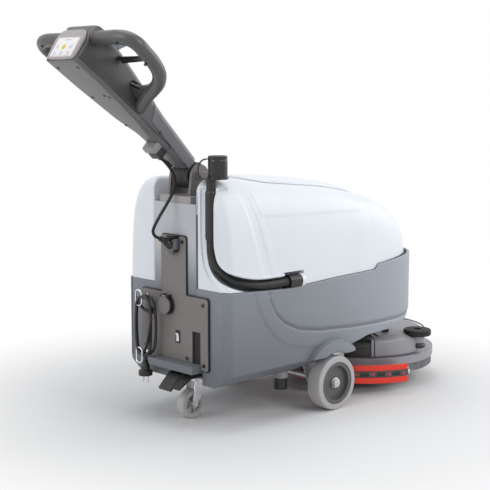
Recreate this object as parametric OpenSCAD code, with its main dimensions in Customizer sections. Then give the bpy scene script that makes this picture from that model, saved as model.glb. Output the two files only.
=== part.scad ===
// Compact walk-behind wet dry floor scrubber.
// +X is forward, +Y is the machine's left, +Z is up, and the wheels stand on Z = 0.
// Inside the modules X is counted forward from the rear face of the tank; row() then moves
// everything so that the origin lies under the middle of the machine.

/* [Tanks] */
// Length of the lower tank, from its rear face to its nose
tank_l = 828; // [800:2:850]
// Width of the lower tank
tank_w = 400; // [390:2:420]
// Height of the flat underside of the lower tank
floor_z = 117; // [112:1:122]
// Height of the joint line between the two tanks at the rear
split_z = 369; // [360:1:380]
// Height of the crown of the recovery tank at the rear
crown_z = 652; // [645:1:665]
// Wall of both rotomoulded tanks
tank_wall = 4; // [3:0.5:5]
// Length of the recovery tank lid
lid_l = 470; // [400:10:490]
// Width of the recovery tank lid
lid_w = 240; // [200:5:250]
// Rise of the lid's crown above the tank's shoulder
lid_rise = 12; // [8:1:16]

/* [Rear column] */
// Width of the column that carries the handle
column_w = 166; // [150:2:174]
// Depth of the column, front to back
column_d = 118; // [105:1:125]
// Height of the column's top
column_z = 586; // [570:2:600]
// Width of the stem of the rear panel
stem_w = 96; // [80:2:110]
// Width of the foot of the rear panel
plate_w = 264; // [240:2:290]
// Height of the top edge of the foot of the rear panel
plate_z = 346; // [335:1:352]
// Thickness of the rear panel
panel_t = 4; // [3:0.5:6]

/* [Drive wheels] */
// Diameter of a drive wheel
wheel_d = 150; // [140:2:160]
// Width of a drive wheel's tyre
tyre_w = 45; // [38:1:50]
// Distance of the drive axle from the tank's rear face
wheel_x = 390; // [375:1:400]
// Width over the two drive wheels
track_w = 452; // [448:2:480]
// Diameter of the drive axle
axle_d = 16; // [14:1:20]

/* [Caster] */
// Diameter of the caster wheel
caster_d = 78; // [70:1:82]
// Width of the caster wheel
caster_w = 28; // [24:1:32]
// Distance of the caster's swivel axis from the tank's rear face
caster_x = 78; // [70:1:100]
// Distance of the caster's axle behind its swivel axis
caster_trail = 28; // [22:1:32]

/* [Brush deck] */
// Diameter over the rim of the brush deck
deck_d = 450; // [430:2:456]
// Distance of the brush axis from the tank's rear face
deck_x = 747; // [740:1:755]
// Diameter of the disc brush
brush_d = 380; // [350:5:400]
// Height that the brush is lifted for transport
deck_lift = 45; // [30:1:46]
// Diameter of a bumper roller
bumper_d = 82; // [70:1:90]

/* [Squeegee] */
// Radius of the curved squeegee
squeegee_r = 261; // [256:1:268]
// Height that the squeegee is lifted for transport
squeegee_lift = 36; // [24:1:37]
// Angle that the squeegee covers on each side of straight back
squeegee_half = 75; // [65:1:80]

/* [Handle] */
// Distance of the handle's pivot from the tank's rear face
pivot_x = 50; // [46:1:58]
// Height of the handle's pivot
pivot_z = 655; // [650:1:665]
// Backward lean of the parked handle
lean = 45; // [35:1:50]
// Distance from the pivot to the console's face
console_p = 489; // [470:1:510]
// Width over the two handle loops, centre to centre
loop_w = 362; // [350:2:380]
// Diameter of the grips
grip_d = 34; // [30:1:36]

/* [Hose and leads] */
// Outer diameter of the drain hose
hose_d = 26; // [22:1:28]
// Diameter of the drain cap
cap_d = 50; // [46:1:54]
// Diameter of the control cable
cable_d = 8; // [6:0.5:9]
// Diameter of the charger lead
lead_d = 8; // [6:0.5:9]
// Diameter of the plug's flange
plug_d = 38; // [34:1:40]
// Diameter of a plug pin
pin_d = 4.8; // [4:0.1:5]
// Distance between the two plug pins
pin_pitch = 19; // [18:0.5:20]

/* [Hidden] */

$fn = 48;
skin_gap = 0.5;          // running gap between mouldings
run_gap = 0.05;          // radial clearance of a shaft in its bore

// ---- frame of the row ----
face_tilt = 11;          // turn of the console's face from square to the column
face_len = 85;           // length of the console's face, low edge to high edge
face_t = 5;              // thickness of the console's face plate
q_low = -78;             // low edge of the console's face, across the column
front_x = deck_x + deck_d / 2;
rear_x = pivot_x - console_p * sin(lean) + q_low * cos(lean)
    - face_t * sin(lean + face_tilt);
mid_x = (front_x + rear_x) / 2;
module row() translate([-mid_x, 0, 0]) children();

// ---- small helpers ----
module bar_y(d, y0, y1) translate([0, y0, 0]) rotate([-90, 0, 0]) cylinder(d = d, h = y1 - y0);
module bar_x(d, x0, x1) translate([x0, 0, 0]) rotate([0, 90, 0]) cylinder(d = d, h = x1 - x0);
module side_plate(y0, y1) translate([0, y1, 0]) rotate([90, 0, 0]) linear_extrude(y1 - y0) children();
module front_plate(x0, x1)
    translate([x0, 0, 0]) rotate([90, 0, 90]) linear_extrude(x1 - x0) children();
module block(x0, x1, y0, y1, z0, z1) translate([x0, y0, z0]) cube([x1 - x0, y1 - y0, z1 - z0]);
module both_sides() for (s = [-1, 1]) scale([1, s, 1]) children();
module rounded(r) offset(r = r, $fn = 24) offset(delta = -r) children();
function smooth(t) = let (c = min(1, max(0, t))) c * c * (3 - 2 * c);
function unit(v) = v / norm(v);

// a closed polyhedron through a list of rings that all have the same number of points
module skin(rings) {
    n = len(rings[0]);
    m = len(rings);
    sides = [for (i = [0:m - 2], j = [0:n - 1])
        let (a = i * n + j, b = i * n + (j + 1) % n) [a, a + n, b + n, b]];
    ends = [[for (j = [0:n - 1]) j], [for (j = [n - 1:-1:0]) (m - 1) * n + j]];
    polyhedron(points = [for (r = rings, q = r) q], faces = concat(sides, ends), convexity = 8);
}

// a round tube swept along a list of points
function tangent(pts, i) =
    unit(pts[min(i + 1, len(pts) - 1)] - pts[max(i - 1, 0)]);
function carried(pts, i) =
    i == 0
        ? let (t = tangent(pts, 0), w = abs(t[2]) < 0.9 ? [0, 0, 1] : [1, 0, 0]) unit(cross(t, w))
        : let (t = tangent(pts, i), u = carried(pts, i - 1)) unit(u - t * (u * t));
module swept(pts, d, sides) skin([
    for (i = [0:len(pts) - 1])
        let (t = tangent(pts, i), u = carried(pts, i), v = cross(t, u))
            [for (k = [0:sides - 1])
                pts[i] + d / 2 * (cos(360 * k / sides) * u + sin(360 * k / sides) * v)]
]);

// rings laid along a route of hand-chosen points, with the corners rounded by a spline
function spline(p0, p1, p2, p3, t) =
    ((p3 - p0 + 3 * (p1 - p2)) * t * t * t + (2 * p0 - 5 * p1 + 4 * p2 - p3) * t * t + (p2 - p0) * t
        + 2 * p1) / 2;
function route_points(r, steps) = concat(
    [for (i = [0:len(r) - 2], k = [0:steps - 1])
        spline(r[max(i - 1, 0)], r[i], r[i + 1], r[min(i + 2, len(r) - 1)], k / steps)],
    [r[len(r) - 1]]);

// ---- shape of the tanks ----
nose_n = 4.3;            // squareness of the nose in plan
nose_l = 470;            // length over which the nose rounds off
upper_l = tank_l - 22;   // length of the recovery tank
upper_w = tank_w - 2;    // width of the recovery tank
nose_fall = 6.6;         // squareness of the recovery tank's nose, seen from the side
nose_round = 1.6;
crown_fall = 42;         // fall of the crown line over the first 600 mm
section_n = 4.8;         // squareness of the recovery tank's section
side_lean = 0.07;        // share of the width that the sides lean in by
lid_x0 = 155;            // rear end of the lid
lid_x1 = lid_x0 + lid_l;

function half_w(x, l, w) = let (t = min(1, max(0, (x - (l - nose_l)) / nose_l)))
    w / 2 * pow(1 - pow(t, nose_n), 1 / nose_n);
// the joint line between the tanks, seen from the side
split_line = [[0, split_z], [205, split_z - 11], [274, split_z - 10], [404, split_z - 4],
    [578, split_z], [592, split_z + 14], [tank_l - 10, split_z + 31], [tank_l + 60, split_z + 34]];
function split_at(x) = lookup(x, split_line);
function shoulder_dip(x) = lid_rise * smooth((x - lid_x0 + 50) / 130)
    * (1 - smooth((x - lid_x1 + 60) / 120));
function crown_at(x) = crown_z - crown_fall * pow(x / 600, 2) - shoulder_dip(x);
function rise_at(x, l) = (crown_at(x) - split_at(x))
    * pow(1 - pow(min(1, max(0, x / l)), nose_fall), 1 / nose_round);
// height of the recovery tank's top at a point
function shoulder(x, y) = let (w = half_w(x, upper_l, upper_w) * (1 - side_lean))
    split_at(x) + rise_at(x, upper_l) * pow(max(0, 1 - pow(abs(y) / w, section_n)), 1 / section_n);

corner_r = 20;           // rounding of the tanks' rear corners
module plan_outline(l, w, inset = 0) {
    steps = 16;
    r = corner_r - inset;
    arc = [for (i = [0:steps]) let (a = 90 * i / steps)
        [l - nose_l + (nose_l - inset) * pow(sin(a), 2 / nose_n),
            (w / 2 - inset) * pow(cos(a), 2 / nose_n)]];
    half = concat(
        [for (a = [90:-30:0]) [inset + r * (1 - sin(a)), w / 2 - inset - r * (1 - cos(a))]], arc);
    polygon(concat(half, [for (i = [len(half) - 1:-1:0]) if (half[i][1] > 0.1) [half[i][0], -half[i][1]]]));
}

module below_split(gap) side_plate(-tank_w, tank_w)
    polygon(concat([for (p = split_line) [p[0], p[1] + gap]],
        [[tank_l + 60, 0], [-200, 0], [-200, split_z + gap]]));

// how far the rear edges of the recovery tank draw in at a distance from its rear face
edge_r = 26;
function drawn_in(x, r) = x < r ? r - sqrt(r * r - (r - x) * (r - x)) : 0;
// domed body of the recovery tank; the lower part of its sides is straight
module dome(inset, base) {
    rings = 22;
    arc = 24;
    x0 = inset;
    x1 = upper_l - inset;
    spots = concat([0, 1, 4, 9, 16, edge_r], [for (i = [1:rings]) (x1 - x0) * sin(89.2 * i / rings)]);
    skin([for (d = spots)
        let (x = x0 + d, edge = drawn_in(d, edge_r - inset),
            w = max(2, half_w(x, x1, upper_w) - inset - edge),
             h = max(2, rise_at(x, x1) - inset - edge), z0 = split_at(x))
            concat([[x, -w, base], [x, w, base]],
                [for (k = [0:arc])
                    let (a = 180 * k / arc, s = pow(sin(a), 2 / section_n),
                         c = sign(cos(a)) * pow(abs(cos(a)), 2 / section_n))
                        [x, w * c * (1 - side_lean * s), z0 + h * s]])]);
}

// ---- lower tank ----
keel_half = 150;         // half width of the flat underside
keel_rise = 33;          // height of the bevel on each side of the underside
ledge_out = 37;          // reach of the rear ledge
ledge_y0 = -105;
ledge_y1 = 70;
ledge_z0 = 150;
ledge_z1 = 170;
arch_gap = 10;
arch_d = wheel_d + 2 * arch_gap;
fender_d = wheel_d + 88;
tyre_in = track_w / 2 - tyre_w;
axle_z = wheel_d / 2;
well_d = 136;            // well over the brush motor
well_z = 330;
coupling_y = -190;
coupling_z = split_z + 4;
pocket_x0 = 196;
pocket_x1 = 282;
service_w = 60;          // opening in the rear wall behind the panel
underside = [[0, floor_z], [300, floor_z], [345, floor_z + 26], [470, floor_z + 48],
    [545, floor_z + 66], [660, floor_z + 69], [740, floor_z + 84], [tank_l, floor_z + 118]];

module tank_core(inset) intersection() {
    translate([0, 0, floor_z]) linear_extrude(500) plan_outline(tank_l, tank_w, inset);
    side_plate(-tank_w, tank_w) polygon(concat(
        [for (p = underside) [p[0], p[1] + inset]], [[tank_l, 600], [0, 600]]));
    front_plate(-10, tank_l + 10) polygon([
        [-keel_half, floor_z + inset], [keel_half, floor_z + inset],
        [tank_w / 2 - inset, floor_z + keel_rise + inset], [tank_w / 2 - inset, 600],
        [-tank_w / 2 + inset, 600], [-tank_w / 2 + inset, floor_z + keel_rise + inset]]);
}
module column_core(inset) block(inset, column_d - inset, -column_w / 2 + inset, column_w / 2 - inset,
    split_z - 20, column_z - inset);

// recess for the pedals, pocket behind the slot of the panel, and the pocket of the hose couplings
recess_d = 42;
recess_y0 = -104;
recess_y1 = 8;
recess_z1 = 167;
pocket_d = 32;
module pedal_recess(grow)
    block(-60, recess_d + grow, recess_y0 - grow, recess_y1 + grow, 0, recess_z1 + grow);
module slot_pocket(grow)
    block(-60, pocket_d + grow, slot_y0 - grow, slot_y1 + grow, ledge_z1 + 1 - grow, slot_z1 + grow);
module coupling_pocket(grow) {
    block(pocket_x0 - grow, pocket_x1 + grow, -300, coupling_y + 22 + grow, coupling_z - 22 - grow, 600);
    block(pocket_x0 - grow, pocket_x1 + grow, -300, coupling_y + 6 + grow, split_z - 36 - grow, 600);
}

module base_tank() color([0.55, 0.57, 0.61]) row() difference() {
    union() {
        difference() {
            intersection() {
                tank_core(0);
                below_split(0);
            }
            difference() {
                tank_core(tank_wall);
                translate([motor_x, 0, floor_z])
                    cylinder(d = well_d + 2 * tank_wall, h = well_z - floor_z + tank_wall);
                both_sides() translate([wheel_x, 0, axle_z])
                    bar_y(arch_d + 2 * tank_wall, tyre_in - 9, 210);
                coupling_pocket(tank_wall);
                pedal_recess(tank_wall);
                slot_pocket(tank_wall);
            }
        }
        difference() {
            column_core(0);
            column_core(tank_wall);
        }
        difference() {
            block(-ledge_out, 1, ledge_y0, ledge_y1, ledge_z0, ledge_z1);
            block(-ledge_out + 3, 2, recess_y0, ledge_y1 - 3, 0, recess_z1);
        }
        intersection() {
            both_sides() translate([wheel_x, 0, axle_z]) bar_y(fender_d, tank_w / 2 - 12, tank_w / 2 + 20);
            block(wheel_x - 100, wheel_x + 82, -300, 300, floor_z + 36, 300);
        }
    }
    translate([motor_x, 0, floor_z - 1]) cylinder(d = well_d, h = well_z - floor_z + 1);
    both_sides() translate([wheel_x, 0, axle_z]) bar_y(arch_d, tyre_in - 5, 300);
    coupling_pocket(0);
    difference() {
        pedal_recess(0);
        block(-80, 0, -200, 200, 0, 300);
    }
    slot_pocket(0);
    translate([pedal_x, 0, pedal_z]) bar_y(shaft_d, recess_y0 - tank_wall - 1, recess_y1 + tank_wall + 1);
    block(-1, tank_wall + 1, -service_w / 2, service_w / 2, 190, plate_z - 30);
    block(tank_wall, column_d - tank_wall, -column_w / 2 + tank_wall, column_w / 2 - tank_wall, 330, 400);
}

// ---- rear panel ----
panel_x = 2;             // thickness of the gasket behind the panel
panel_z0 = 157;
panel_top = 500;
slot_y0 = -104;
slot_y1 = -72;
slot_z1 = 256;
module panel_outline(grow) rounded(8) offset(delta = grow) union() {
    translate([-plate_w / 2, panel_z0]) square([plate_w, plate_z - panel_z0]);
    translate([-stem_w / 2, panel_z0]) square([stem_w, panel_top - panel_z0]);
}
module panel_cuts() {
    square_slot = [slot_y1 - slot_y0, slot_z1 - ledge_z1];
    translate([slot_y0, ledge_z1]) square(square_slot);
    translate([ledge_y0 - skin_gap, ledge_z0 - skin_gap])
        square([ledge_y1 - ledge_y0 + 2 * skin_gap, ledge_z1 - ledge_z0 + 2 * skin_gap]);
    translate([rocker_y, rocker_z]) square([rocker_w + 1, 2 * rocker_r + 2], center = true);
}
screw_spots = [[-plate_w / 2 + 18, plate_z - 17], [plate_w / 2 - 18, plate_z - 17],
    [-plate_w / 2 + 14, panel_z0 + 14], [plate_w / 2 - 14, panel_z0 + 34], [-52, panel_z0 + 24],
    [-stem_w / 2 + 12, panel_top - 14], [stem_w / 2 - 12, panel_top - 14]];
screw_d = 4;
head_d = 9;
inlet_y = 23;
inlet_z = 314;
inlet_d = 44;
rocker_y = -16;
rocker_z = 233;

module panel_gasket() front_plate(-panel_x, 0) difference() {
    panel_outline(2.5);
    panel_cuts();
    for (s = screw_spots) translate(s) circle(d = screw_d);
    translate([inlet_y, inlet_z]) circle(d = inlet_d - 10);
}
module rear_panel() color([0.46, 0.44, 0.43]) row() difference() {
    front_plate(-panel_x - panel_t, -panel_x) difference() {
        panel_outline(0);
        panel_cuts();
        for (s = screw_spots) translate(s) circle(d = screw_d);
        translate([inlet_y, inlet_z]) circle(d = inlet_d - 10);
    }
    translate([rocker_x, rocker_y, rocker_z]) bar_y(rocker_pin + 2 * run_gap, -rocker_w, rocker_w);
}
module panel_screws() color([0.15, 0.15, 0.15]) row() for (s = screw_spots)
    translate([0, s[0], s[1]]) {
        bar_x(screw_d, -panel_x - panel_t, 0);
        bar_x(head_d, -panel_x - panel_t - 2.5, -panel_x - panel_t);
    }

// ---- charger inlet with its flap, and the socket for the control cable ----
socket_x = -panel_x - panel_t - 12;
flap_x = socket_x - 0.3;
flap_pin = 3;
flap_pin_x = -2.7;
flap_pin_z = inlet_d / 2 + 3;
module inlet_socket() color([0.2, 0.2, 0.2]) row() translate([0, inlet_y, inlet_z]) difference() {
    union() {
        bar_x(inlet_d - 10, -panel_x - panel_t, 0);
        bar_x(inlet_d, socket_x, -panel_x - panel_t);
        // a hinge ear on each side of the flap's knuckle
        both_sides()
            block(flap_x + flap_pin_x - 2.5, -panel_x - panel_t, 9.5, 14, inlet_d / 2, inlet_d / 2 + 6);
        block(socket_x, -panel_x - panel_t, -14, 14, inlet_d / 2 - 5, inlet_d / 2);
    }
    bar_x(inlet_d - 14, -panel_x - panel_t - 20, -panel_x - panel_t + 2);
    translate([flap_x + flap_pin_x, 0, flap_pin_z]) bar_y(flap_pin + 2 * run_gap, -20, 20);
}
module inlet_flap() color([0.47, 0.45, 0.44]) row() translate([flap_x, inlet_y, inlet_z]) {
    difference() {
        bar_x(inlet_d + 2, -4, 0);
        block(-8, 4, -30, 30, inlet_d / 2 - 1, 40);
    }
    bar_x(inlet_d - 15, 0, 4);
    translate([flap_pin_x, 0, flap_pin_z]) {
        bar_y(flap_pin, -13.5, 13.5);
        bar_y(flap_pin + 2, -8.5, 8.5);
    }
    block(-4, -1, -7, 7, inlet_d / 2 - 2, flap_pin_z);
}

rocker_x = -panel_x - panel_t / 2;
rocker_w = 10;
rocker_r = 12;
rocker_pin = 2;
rocker_tilt = 8;
module rocker_switch() color([0.12, 0.12, 0.12]) row() translate([rocker_x, rocker_y, rocker_z])
    rotate([0, -rocker_tilt, 0]) {
        side_plate(-rocker_w / 2, rocker_w / 2) polygon([[-6, 1 - rocker_r], [-3.5, 0], [-6, rocker_r - 1],
            [1, rocker_r - 2], [1, 2 - rocker_r]]);
        bar_y(rocker_pin, -rocker_w / 2 - 2, rocker_w / 2 + 2);
    }

connector_y = -6;
connector_z = 494;
connector_x = -panel_x - panel_t;
module stem_connector() {
    block(connector_x - 16, connector_x, connector_y - 15, connector_y + 15,
        connector_z - 34, connector_z + 8);
    swept([[-14, connector_y, 480], [-34, 1, 488]], 22, 16);
    swept([[-30, 4, 487], [-45.8, 6, 494.9]], 15, 12);
}

// ---- charger lead: gland, hooks, hank, tail and plug ----
lead_y = 92;
lead_x = -30;
hank_z0 = 168;
hank_z1 = 336;
hank_w = 54;
hank_t = 22;
gland_z = 288;
module lead_gland() translate([0, lead_y, gland_z]) {
    bar_x(20, -panel_x - panel_t - 6, -panel_x - panel_t);
    bar_x(14, -panel_x - panel_t - 11, -panel_x - panel_t - 6);
}
hook_d = 4;
hook_y = plate_w / 2 - 20; // middle of the hooks
hook_x = -46;
hook_w = 26;
hook_h = 42;
hook_top = 306;          // foot of the upper loop
hook_low = 150;          // foot of the lower loop
module hook_loop(z) translate([hook_x, hook_y, z + hook_w / 2]) {
    both_sides() translate([0, hook_w / 2 - hook_d / 2, 0]) cylinder(d = hook_d, h = hook_h - hook_w);
    for (s = [0, 1]) translate([0, 0, s * (hook_h - hook_w)]) rotate([s * 180, 0, 0])
        rotate([90, 180, 90]) rotate_extrude(angle = 180)
            translate([hook_w / 2 - hook_d / 2, 0]) circle(d = hook_d);
}
module cord_hooks() color([0.9, 0.9, 0.9]) row() {
    hook_loop(hook_top);
    hook_loop(hook_low);
    for (z = [hook_top, hook_low]) translate([0, hook_y + hook_w / 2 - hook_d / 2, z + hook_h / 2]) {
        bar_x(hook_d, hook_x, -panel_x - panel_t - 3);
        bar_x(8, -panel_x - panel_t - 3, -panel_x - panel_t);
    }
}
module lead_hank() color([0.08, 0.08, 0.08]) row()
    translate([lead_x + hank_t / 2, 0, 0]) rotate([0, -90, 0]) linear_extrude(hank_t) hull() {
        translate([hank_z0 + hank_w / 2, lead_y - 3]) circle(d = hank_w, $fn = 32);
        translate([hank_z1 - hank_w / 2, lead_y - 3]) circle(d = hank_w, $fn = 32);
    }
tail_route = [[lead_x, lead_y, hank_z0], [lead_x, lead_y, hank_z0 - 6], [lead_x, lead_y, hank_z0 - 12]];
start_route = [[-panel_x - panel_t - 11, lead_y, gland_z], [lead_x + hank_t / 2, lead_y, gland_z]];
module lead_tail() color([0.08, 0.08, 0.08]) row() {
    swept(route_points(tail_route, 2), lead_d, 10);
    swept(start_route, lead_d, 10);
}
plug_top = hank_z0 - 12;
plug_h = 42;
flange_h = 14;
pin_l = 19;
module lead_plug() color([0.07, 0.07, 0.07]) row() translate([lead_x, lead_y, plug_top - plug_h]) {
    cylinder(d = plug_d, h = flange_h);
    translate([0, 0, flange_h]) cylinder(d1 = plug_d * 0.66, d2 = lead_d + 4, h = plug_h - flange_h);
    for (s = [-1, 1]) translate([0, s * pin_pitch / 2, -pin_l]) cylinder(d = pin_d, h = pin_l);
}

// ---- chassis under the tank ----
frame_t = 5;
frame_z1 = floor_z;
frame_z0 = frame_z1 - frame_t;
cheek_y0 = 128;
cheek_t = 6;
guide_x = deck_x - 235;
guide_y = 60;
guide_d = 16;
guide_top = 171;
cross_z0 = 100;
cross_z1 = 156;
cross_x0 = 486;
cross_x1 = 540;
cross_half = 118;
lift_y = 100;
frame_half = 111;         // half width of the frame's floor plate
frame_x0 = recess_d + 6;
module chassis_frame() color([0.2, 0.2, 0.21]) row() difference() {
    union() {
        block(frame_x0, 330, -frame_half, frame_half, frame_z0, frame_z1);
        block(300, cross_x1, -90, 90, frame_z0, frame_z1);
        for (y = [-84, 84]) block(345, cross_x1, y - 6, y + 6, frame_z1 - 1, floor_z + 20);
        block(cross_x0, cross_x1, -cross_half, cross_half, cross_z0, cross_z1);
        both_sides() block(wheel_x - 36, wheel_x + 36, 88, cheek_y0 + cheek_t, frame_z0, frame_z1);
        both_sides() side_plate(cheek_y0, cheek_y0 + cheek_t) hull() {
            translate([wheel_x, axle_z]) circle(r = axle_d / 2 + 12);
            translate([wheel_x - 36, frame_z0]) square([72, frame_t]);
        }
    }
    translate([wheel_x, 0, axle_z]) bar_y(axle_d, -200, 200);
    for (y = [-lift_y, -guide_y, guide_y, lift_y])
        translate([guide_x, y, 0]) cylinder(d = guide_d + 2 * run_gap, h = 300);
    translate([caster_x, 0, 0]) cylinder(d = 13, h = 200);
}
pedal_x = 26;
pedal_z = 140;
shaft_d = 12;
module pedal_shaft() color([0.6, 0.6, 0.62]) row() translate([pedal_x, 0, pedal_z])
    bar_y(shaft_d, recess_y0 - tank_wall, recess_y1 + tank_wall);
module drive_axle() color([0.8, 0.8, 0.82]) row() translate([wheel_x, 0, axle_z]) {
    bar_y(axle_d, -track_w / 2 + 7, track_w / 2 - 7);
    both_sides() difference() {
        union() {
            bar_y(29, track_w / 2 - 13, track_w / 2 - 7);
            bar_y(24, track_w / 2 - 7, track_w / 2 - 1);
        }
        bar_y(axle_d, 0, track_w / 2 - 7);
    }
}

// ---- drive wheels ----
hub_d = wheel_d * 0.787;
module tyre() rotate([90, 0, 0]) rotate_extrude() difference() {
    rounded(5) translate([hub_d / 2 - 6, -tyre_w / 2]) square([wheel_d / 2 - hub_d / 2 + 6, tyre_w]);
    translate([0, -tyre_w]) square([hub_d / 2, 2 * tyre_w]);
}
module hub() rotate([90, 0, 0]) difference() {
    translate([0, 0, -tyre_w / 2 + 2]) cylinder(d = hub_d, h = tyre_w - 4);
    for (s = [0, 1]) rotate([180 * s, 0, 0]) {
        translate([0, 0, tyre_w / 2 - 14]) cylinder(d = hub_d - 22, h = 30);
    }
    translate([0, 0, -50]) cylinder(d = axle_d + 2 * run_gap, h = 100);
}
module hub_core() rotate([90, 0, 0]) difference() {
    translate([0, 0, -tyre_w / 2 + 2]) cylinder(d = 44, h = tyre_w - 15.5);
    translate([0, 0, -50]) cylinder(d = axle_d + 2 * run_gap, h = 100);
}
wheel_y = track_w / 2 - tyre_w / 2;
module at_wheel(s) row() translate([wheel_x, s * wheel_y, axle_z]) scale([1, -s, 1]) children();
module tyre_right() color([0.66, 0.65, 0.66]) at_wheel(-1) tyre();
module tyre_left() color([0.66, 0.65, 0.66]) at_wheel(1) tyre();
module hub_right() color([0.37, 0.36, 0.36]) at_wheel(-1) wheel_hub();
module hub_left() color([0.37, 0.36, 0.36]) at_wheel(1) wheel_hub();
module wheel_hub() {
    hub();
    hub_core();
}

// ---- caster ----
caster_z = caster_d / 2;
caster_top = frame_z0;
head_h = 10;
fork_in = caster_w / 2 + 1.5;
fork_t = 3;
module caster_plate() color([0.75, 0.75, 0.76]) row() translate([caster_x, 0, 0]) {
    block(-34, 34, -32, 32, caster_top - 3, caster_top);
    translate([0, 0, caster_top - 3 - head_h]) cylinder(d = 12, h = head_h + 3);
    translate([0, 0, caster_top - 3 - head_h - 5]) cylinder(d = 20, h = 5);
}
module caster_fork() color([0.78, 0.78, 0.79]) row() translate([caster_x, 0, 0]) difference() {
    union() {
        caster_axle();
        translate([0, 0, caster_top - 3 - head_h]) cylinder(d = 46, h = head_h - 0.3);
        both_sides() side_plate(fork_in, fork_in + fork_t) hull() {
            translate([-caster_trail, caster_z]) circle(r = 9);
            translate([-26, caster_top - 4 - head_h]) square([46, 4]);
        }
        block(-24, 20, -fork_in - fork_t, -13, caster_top - 3 - head_h, caster_top - 6 - 3);
        block(-24, 20, 13, fork_in + fork_t, caster_top - 3 - head_h, caster_top - 6 - 3);
    }
    translate([0, 0, caster_top - 60]) cylinder(d = 12 + 2 * run_gap, h = 80);
    translate([0, 0, caster_top - 3 - head_h - 6]) cylinder(d = 22, h = 6);
}
module caster_axle() translate([-caster_trail, 0, caster_z]) {
    bar_y(8, -fork_in - fork_t, fork_in + fork_t);
    both_sides() bar_y(14, fork_in + fork_t, fork_in + fork_t + 5, $fn = 6);
}
module caster_wheel() color([0.75, 0.74, 0.74]) row() translate([caster_x - caster_trail, 0, caster_z])
    rotate([90, 0, 0]) rotate_extrude() difference() {
        rounded(4) translate([caster_d / 2 - 14, -caster_w / 2]) square([14, caster_w]);
        translate([0, -20]) square([caster_d / 2 - 11, 40]);
    }
module caster_hub() color([0.62, 0.62, 0.62]) row() translate([caster_x - caster_trail, 0, caster_z])
    rotate([90, 0, 0]) difference() {
        union() {
            translate([0, 0, -2.5]) cylinder(d = caster_d - 22, h = 5);
            translate([0, 0, -caster_w / 2]) cylinder(d = 20, h = caster_w);
            for (k = [0:4]) rotate(72 * k) translate([9, -1.5, -10]) cube([caster_d / 2 - 22, 3, 20]);
            difference() {
                translate([0, 0, -caster_w / 2 + 2]) cylinder(d = caster_d - 22, h = caster_w - 4);
                translate([0, 0, -20]) cylinder(d = caster_d - 30, h = 40);
            }
        }
        translate([0, 0, -30]) cylinder(d = 8 + 2 * run_gap, h = 60);
    }

// ---- brush deck ----
rim_z0 = 75;
rim_z1 = 98;
top_z = 148;
bell_d = deck_d - 44;
deck_wall = 4;
motor_d = 112;
motor_x = deck_x - 30;
arm_z0 = 78;
arm_z1 = 90;
post_d = 44;
post_h = 50;
bumper_pin_d = 10;
module deck_cover() color([0.58, 0.57, 0.58]) row() difference() {
    union() {
        translate([deck_x, 0, rim_z0]) cylinder(d = deck_d, h = rim_z1 - rim_z0);
        translate([deck_x, 0, rim_z1]) cylinder(d1 = bell_d, d2 = bell_d - 26, h = top_z - rim_z1);
        // arms back to the guide rods
        for (y = [-guide_y, guide_y]) block(guide_x - 14, deck_x - 206, y - 12, y + 12, arm_z0, arm_z1);
        both_sides() translate([bumper_x, bumper_y, rim_z1 - 1]) cylinder(d = post_d, h = post_h);
    }
    translate([deck_x, 0, rim_z0 - 1]) cylinder(d = deck_d - 2 * deck_wall - 12, h = rim_z1 - rim_z0 - 3);
    translate([deck_x, 0, rim_z1 - 6]) cylinder(d = bell_d - 40, h = top_z - rim_z1 + 6 - deck_wall);
    for (y = [-guide_y, guide_y]) translate([guide_x, y, 0]) cylinder(d = guide_d, h = 300);
    translate([deck_x, 0, 100]) cylinder(d = 40, h = 60);
    both_sides() translate([bumper_x, bumper_y, bumper_z - 40]) cylinder(d = bumper_pin_d, h = 60);
}
// rods that guide the deck up and down, and the pins of the bumper rollers
module deck_pins() color([0.72, 0.72, 0.74]) row() {
    for (y = [-guide_y, guide_y]) translate([guide_x, y, arm_z0])
        cylinder(d = guide_d, h = guide_top - arm_z0);
    both_sides() translate([bumper_x, bumper_y, bumper_z - 40]) {
        cylinder(d = bumper_pin_d, h = 47);
        translate([0, 0, 47]) cylinder(d = 20, h = 3);
    }
}
module brush_motor() color([0.15, 0.15, 0.16]) row() {
    translate([motor_x, 0, top_z]) {
        cylinder(d = motor_d, h = 100);
        translate([0, 0, 100]) cylinder(d = motor_d - 30, h = 16);
    }
    translate([deck_x, 0, brush_z + 60]) cylinder(d = drive_d, h = top_z - brush_z - 60);
}
module splash_skirt() color([0.2, 0.2, 0.21]) row() translate([deck_x, 0, 0]) difference() {
    translate([0, 0, 50]) cylinder(d = deck_d - 8, h = 25);
    translate([0, 0, 49]) cylinder(d = deck_d - 24, h = 27);
}
brush_z = deck_lift + 2; // lowest point of the lifted brush
drive_d = 30;
module disc_brush() color([0.12, 0.12, 0.13]) row() translate([deck_x, 0, brush_z]) {
    difference() {
        union() {
            translate([0, 0, 26]) cylinder(d = brush_d - 30, h = 10);
            translate([0, 0, 36]) cylinder(d = 90, h = 36);
        }
        translate([0, 0, 60 - 0.1]) cylinder(d = drive_d + 2 * run_gap, h = 60);
    }
    difference() {
        cylinder(d1 = brush_d, d2 = brush_d - 30, h = 26);
        translate([0, 0, -1]) cylinder(d = brush_d - 190, h = 27);
    }
}
bumper_x = deck_x + 31;
bumper_y = 200;
bumper_z = rim_z1 + 50;
module bumper() {
    difference() {
        rotate_extrude() rounded(4) difference() {
            translate([-10, 1]) square([bumper_d / 2 + 10, 18]);
            translate([-20, -30]) square([20, 60]);
        }
        translate([0, 0, 6]) cylinder(d = 24, h = 40);
        translate([0, 0, -5]) cylinder(d = bumper_pin_d + 2 * run_gap, h = 40);
    }
}
module bumper_right() color([0.13, 0.13, 0.13]) row() translate([bumper_x, -bumper_y, bumper_z]) bumper();
module bumper_left() color([0.13, 0.13, 0.13]) row() translate([bumper_x, bumper_y, bumper_z]) bumper();

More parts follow.
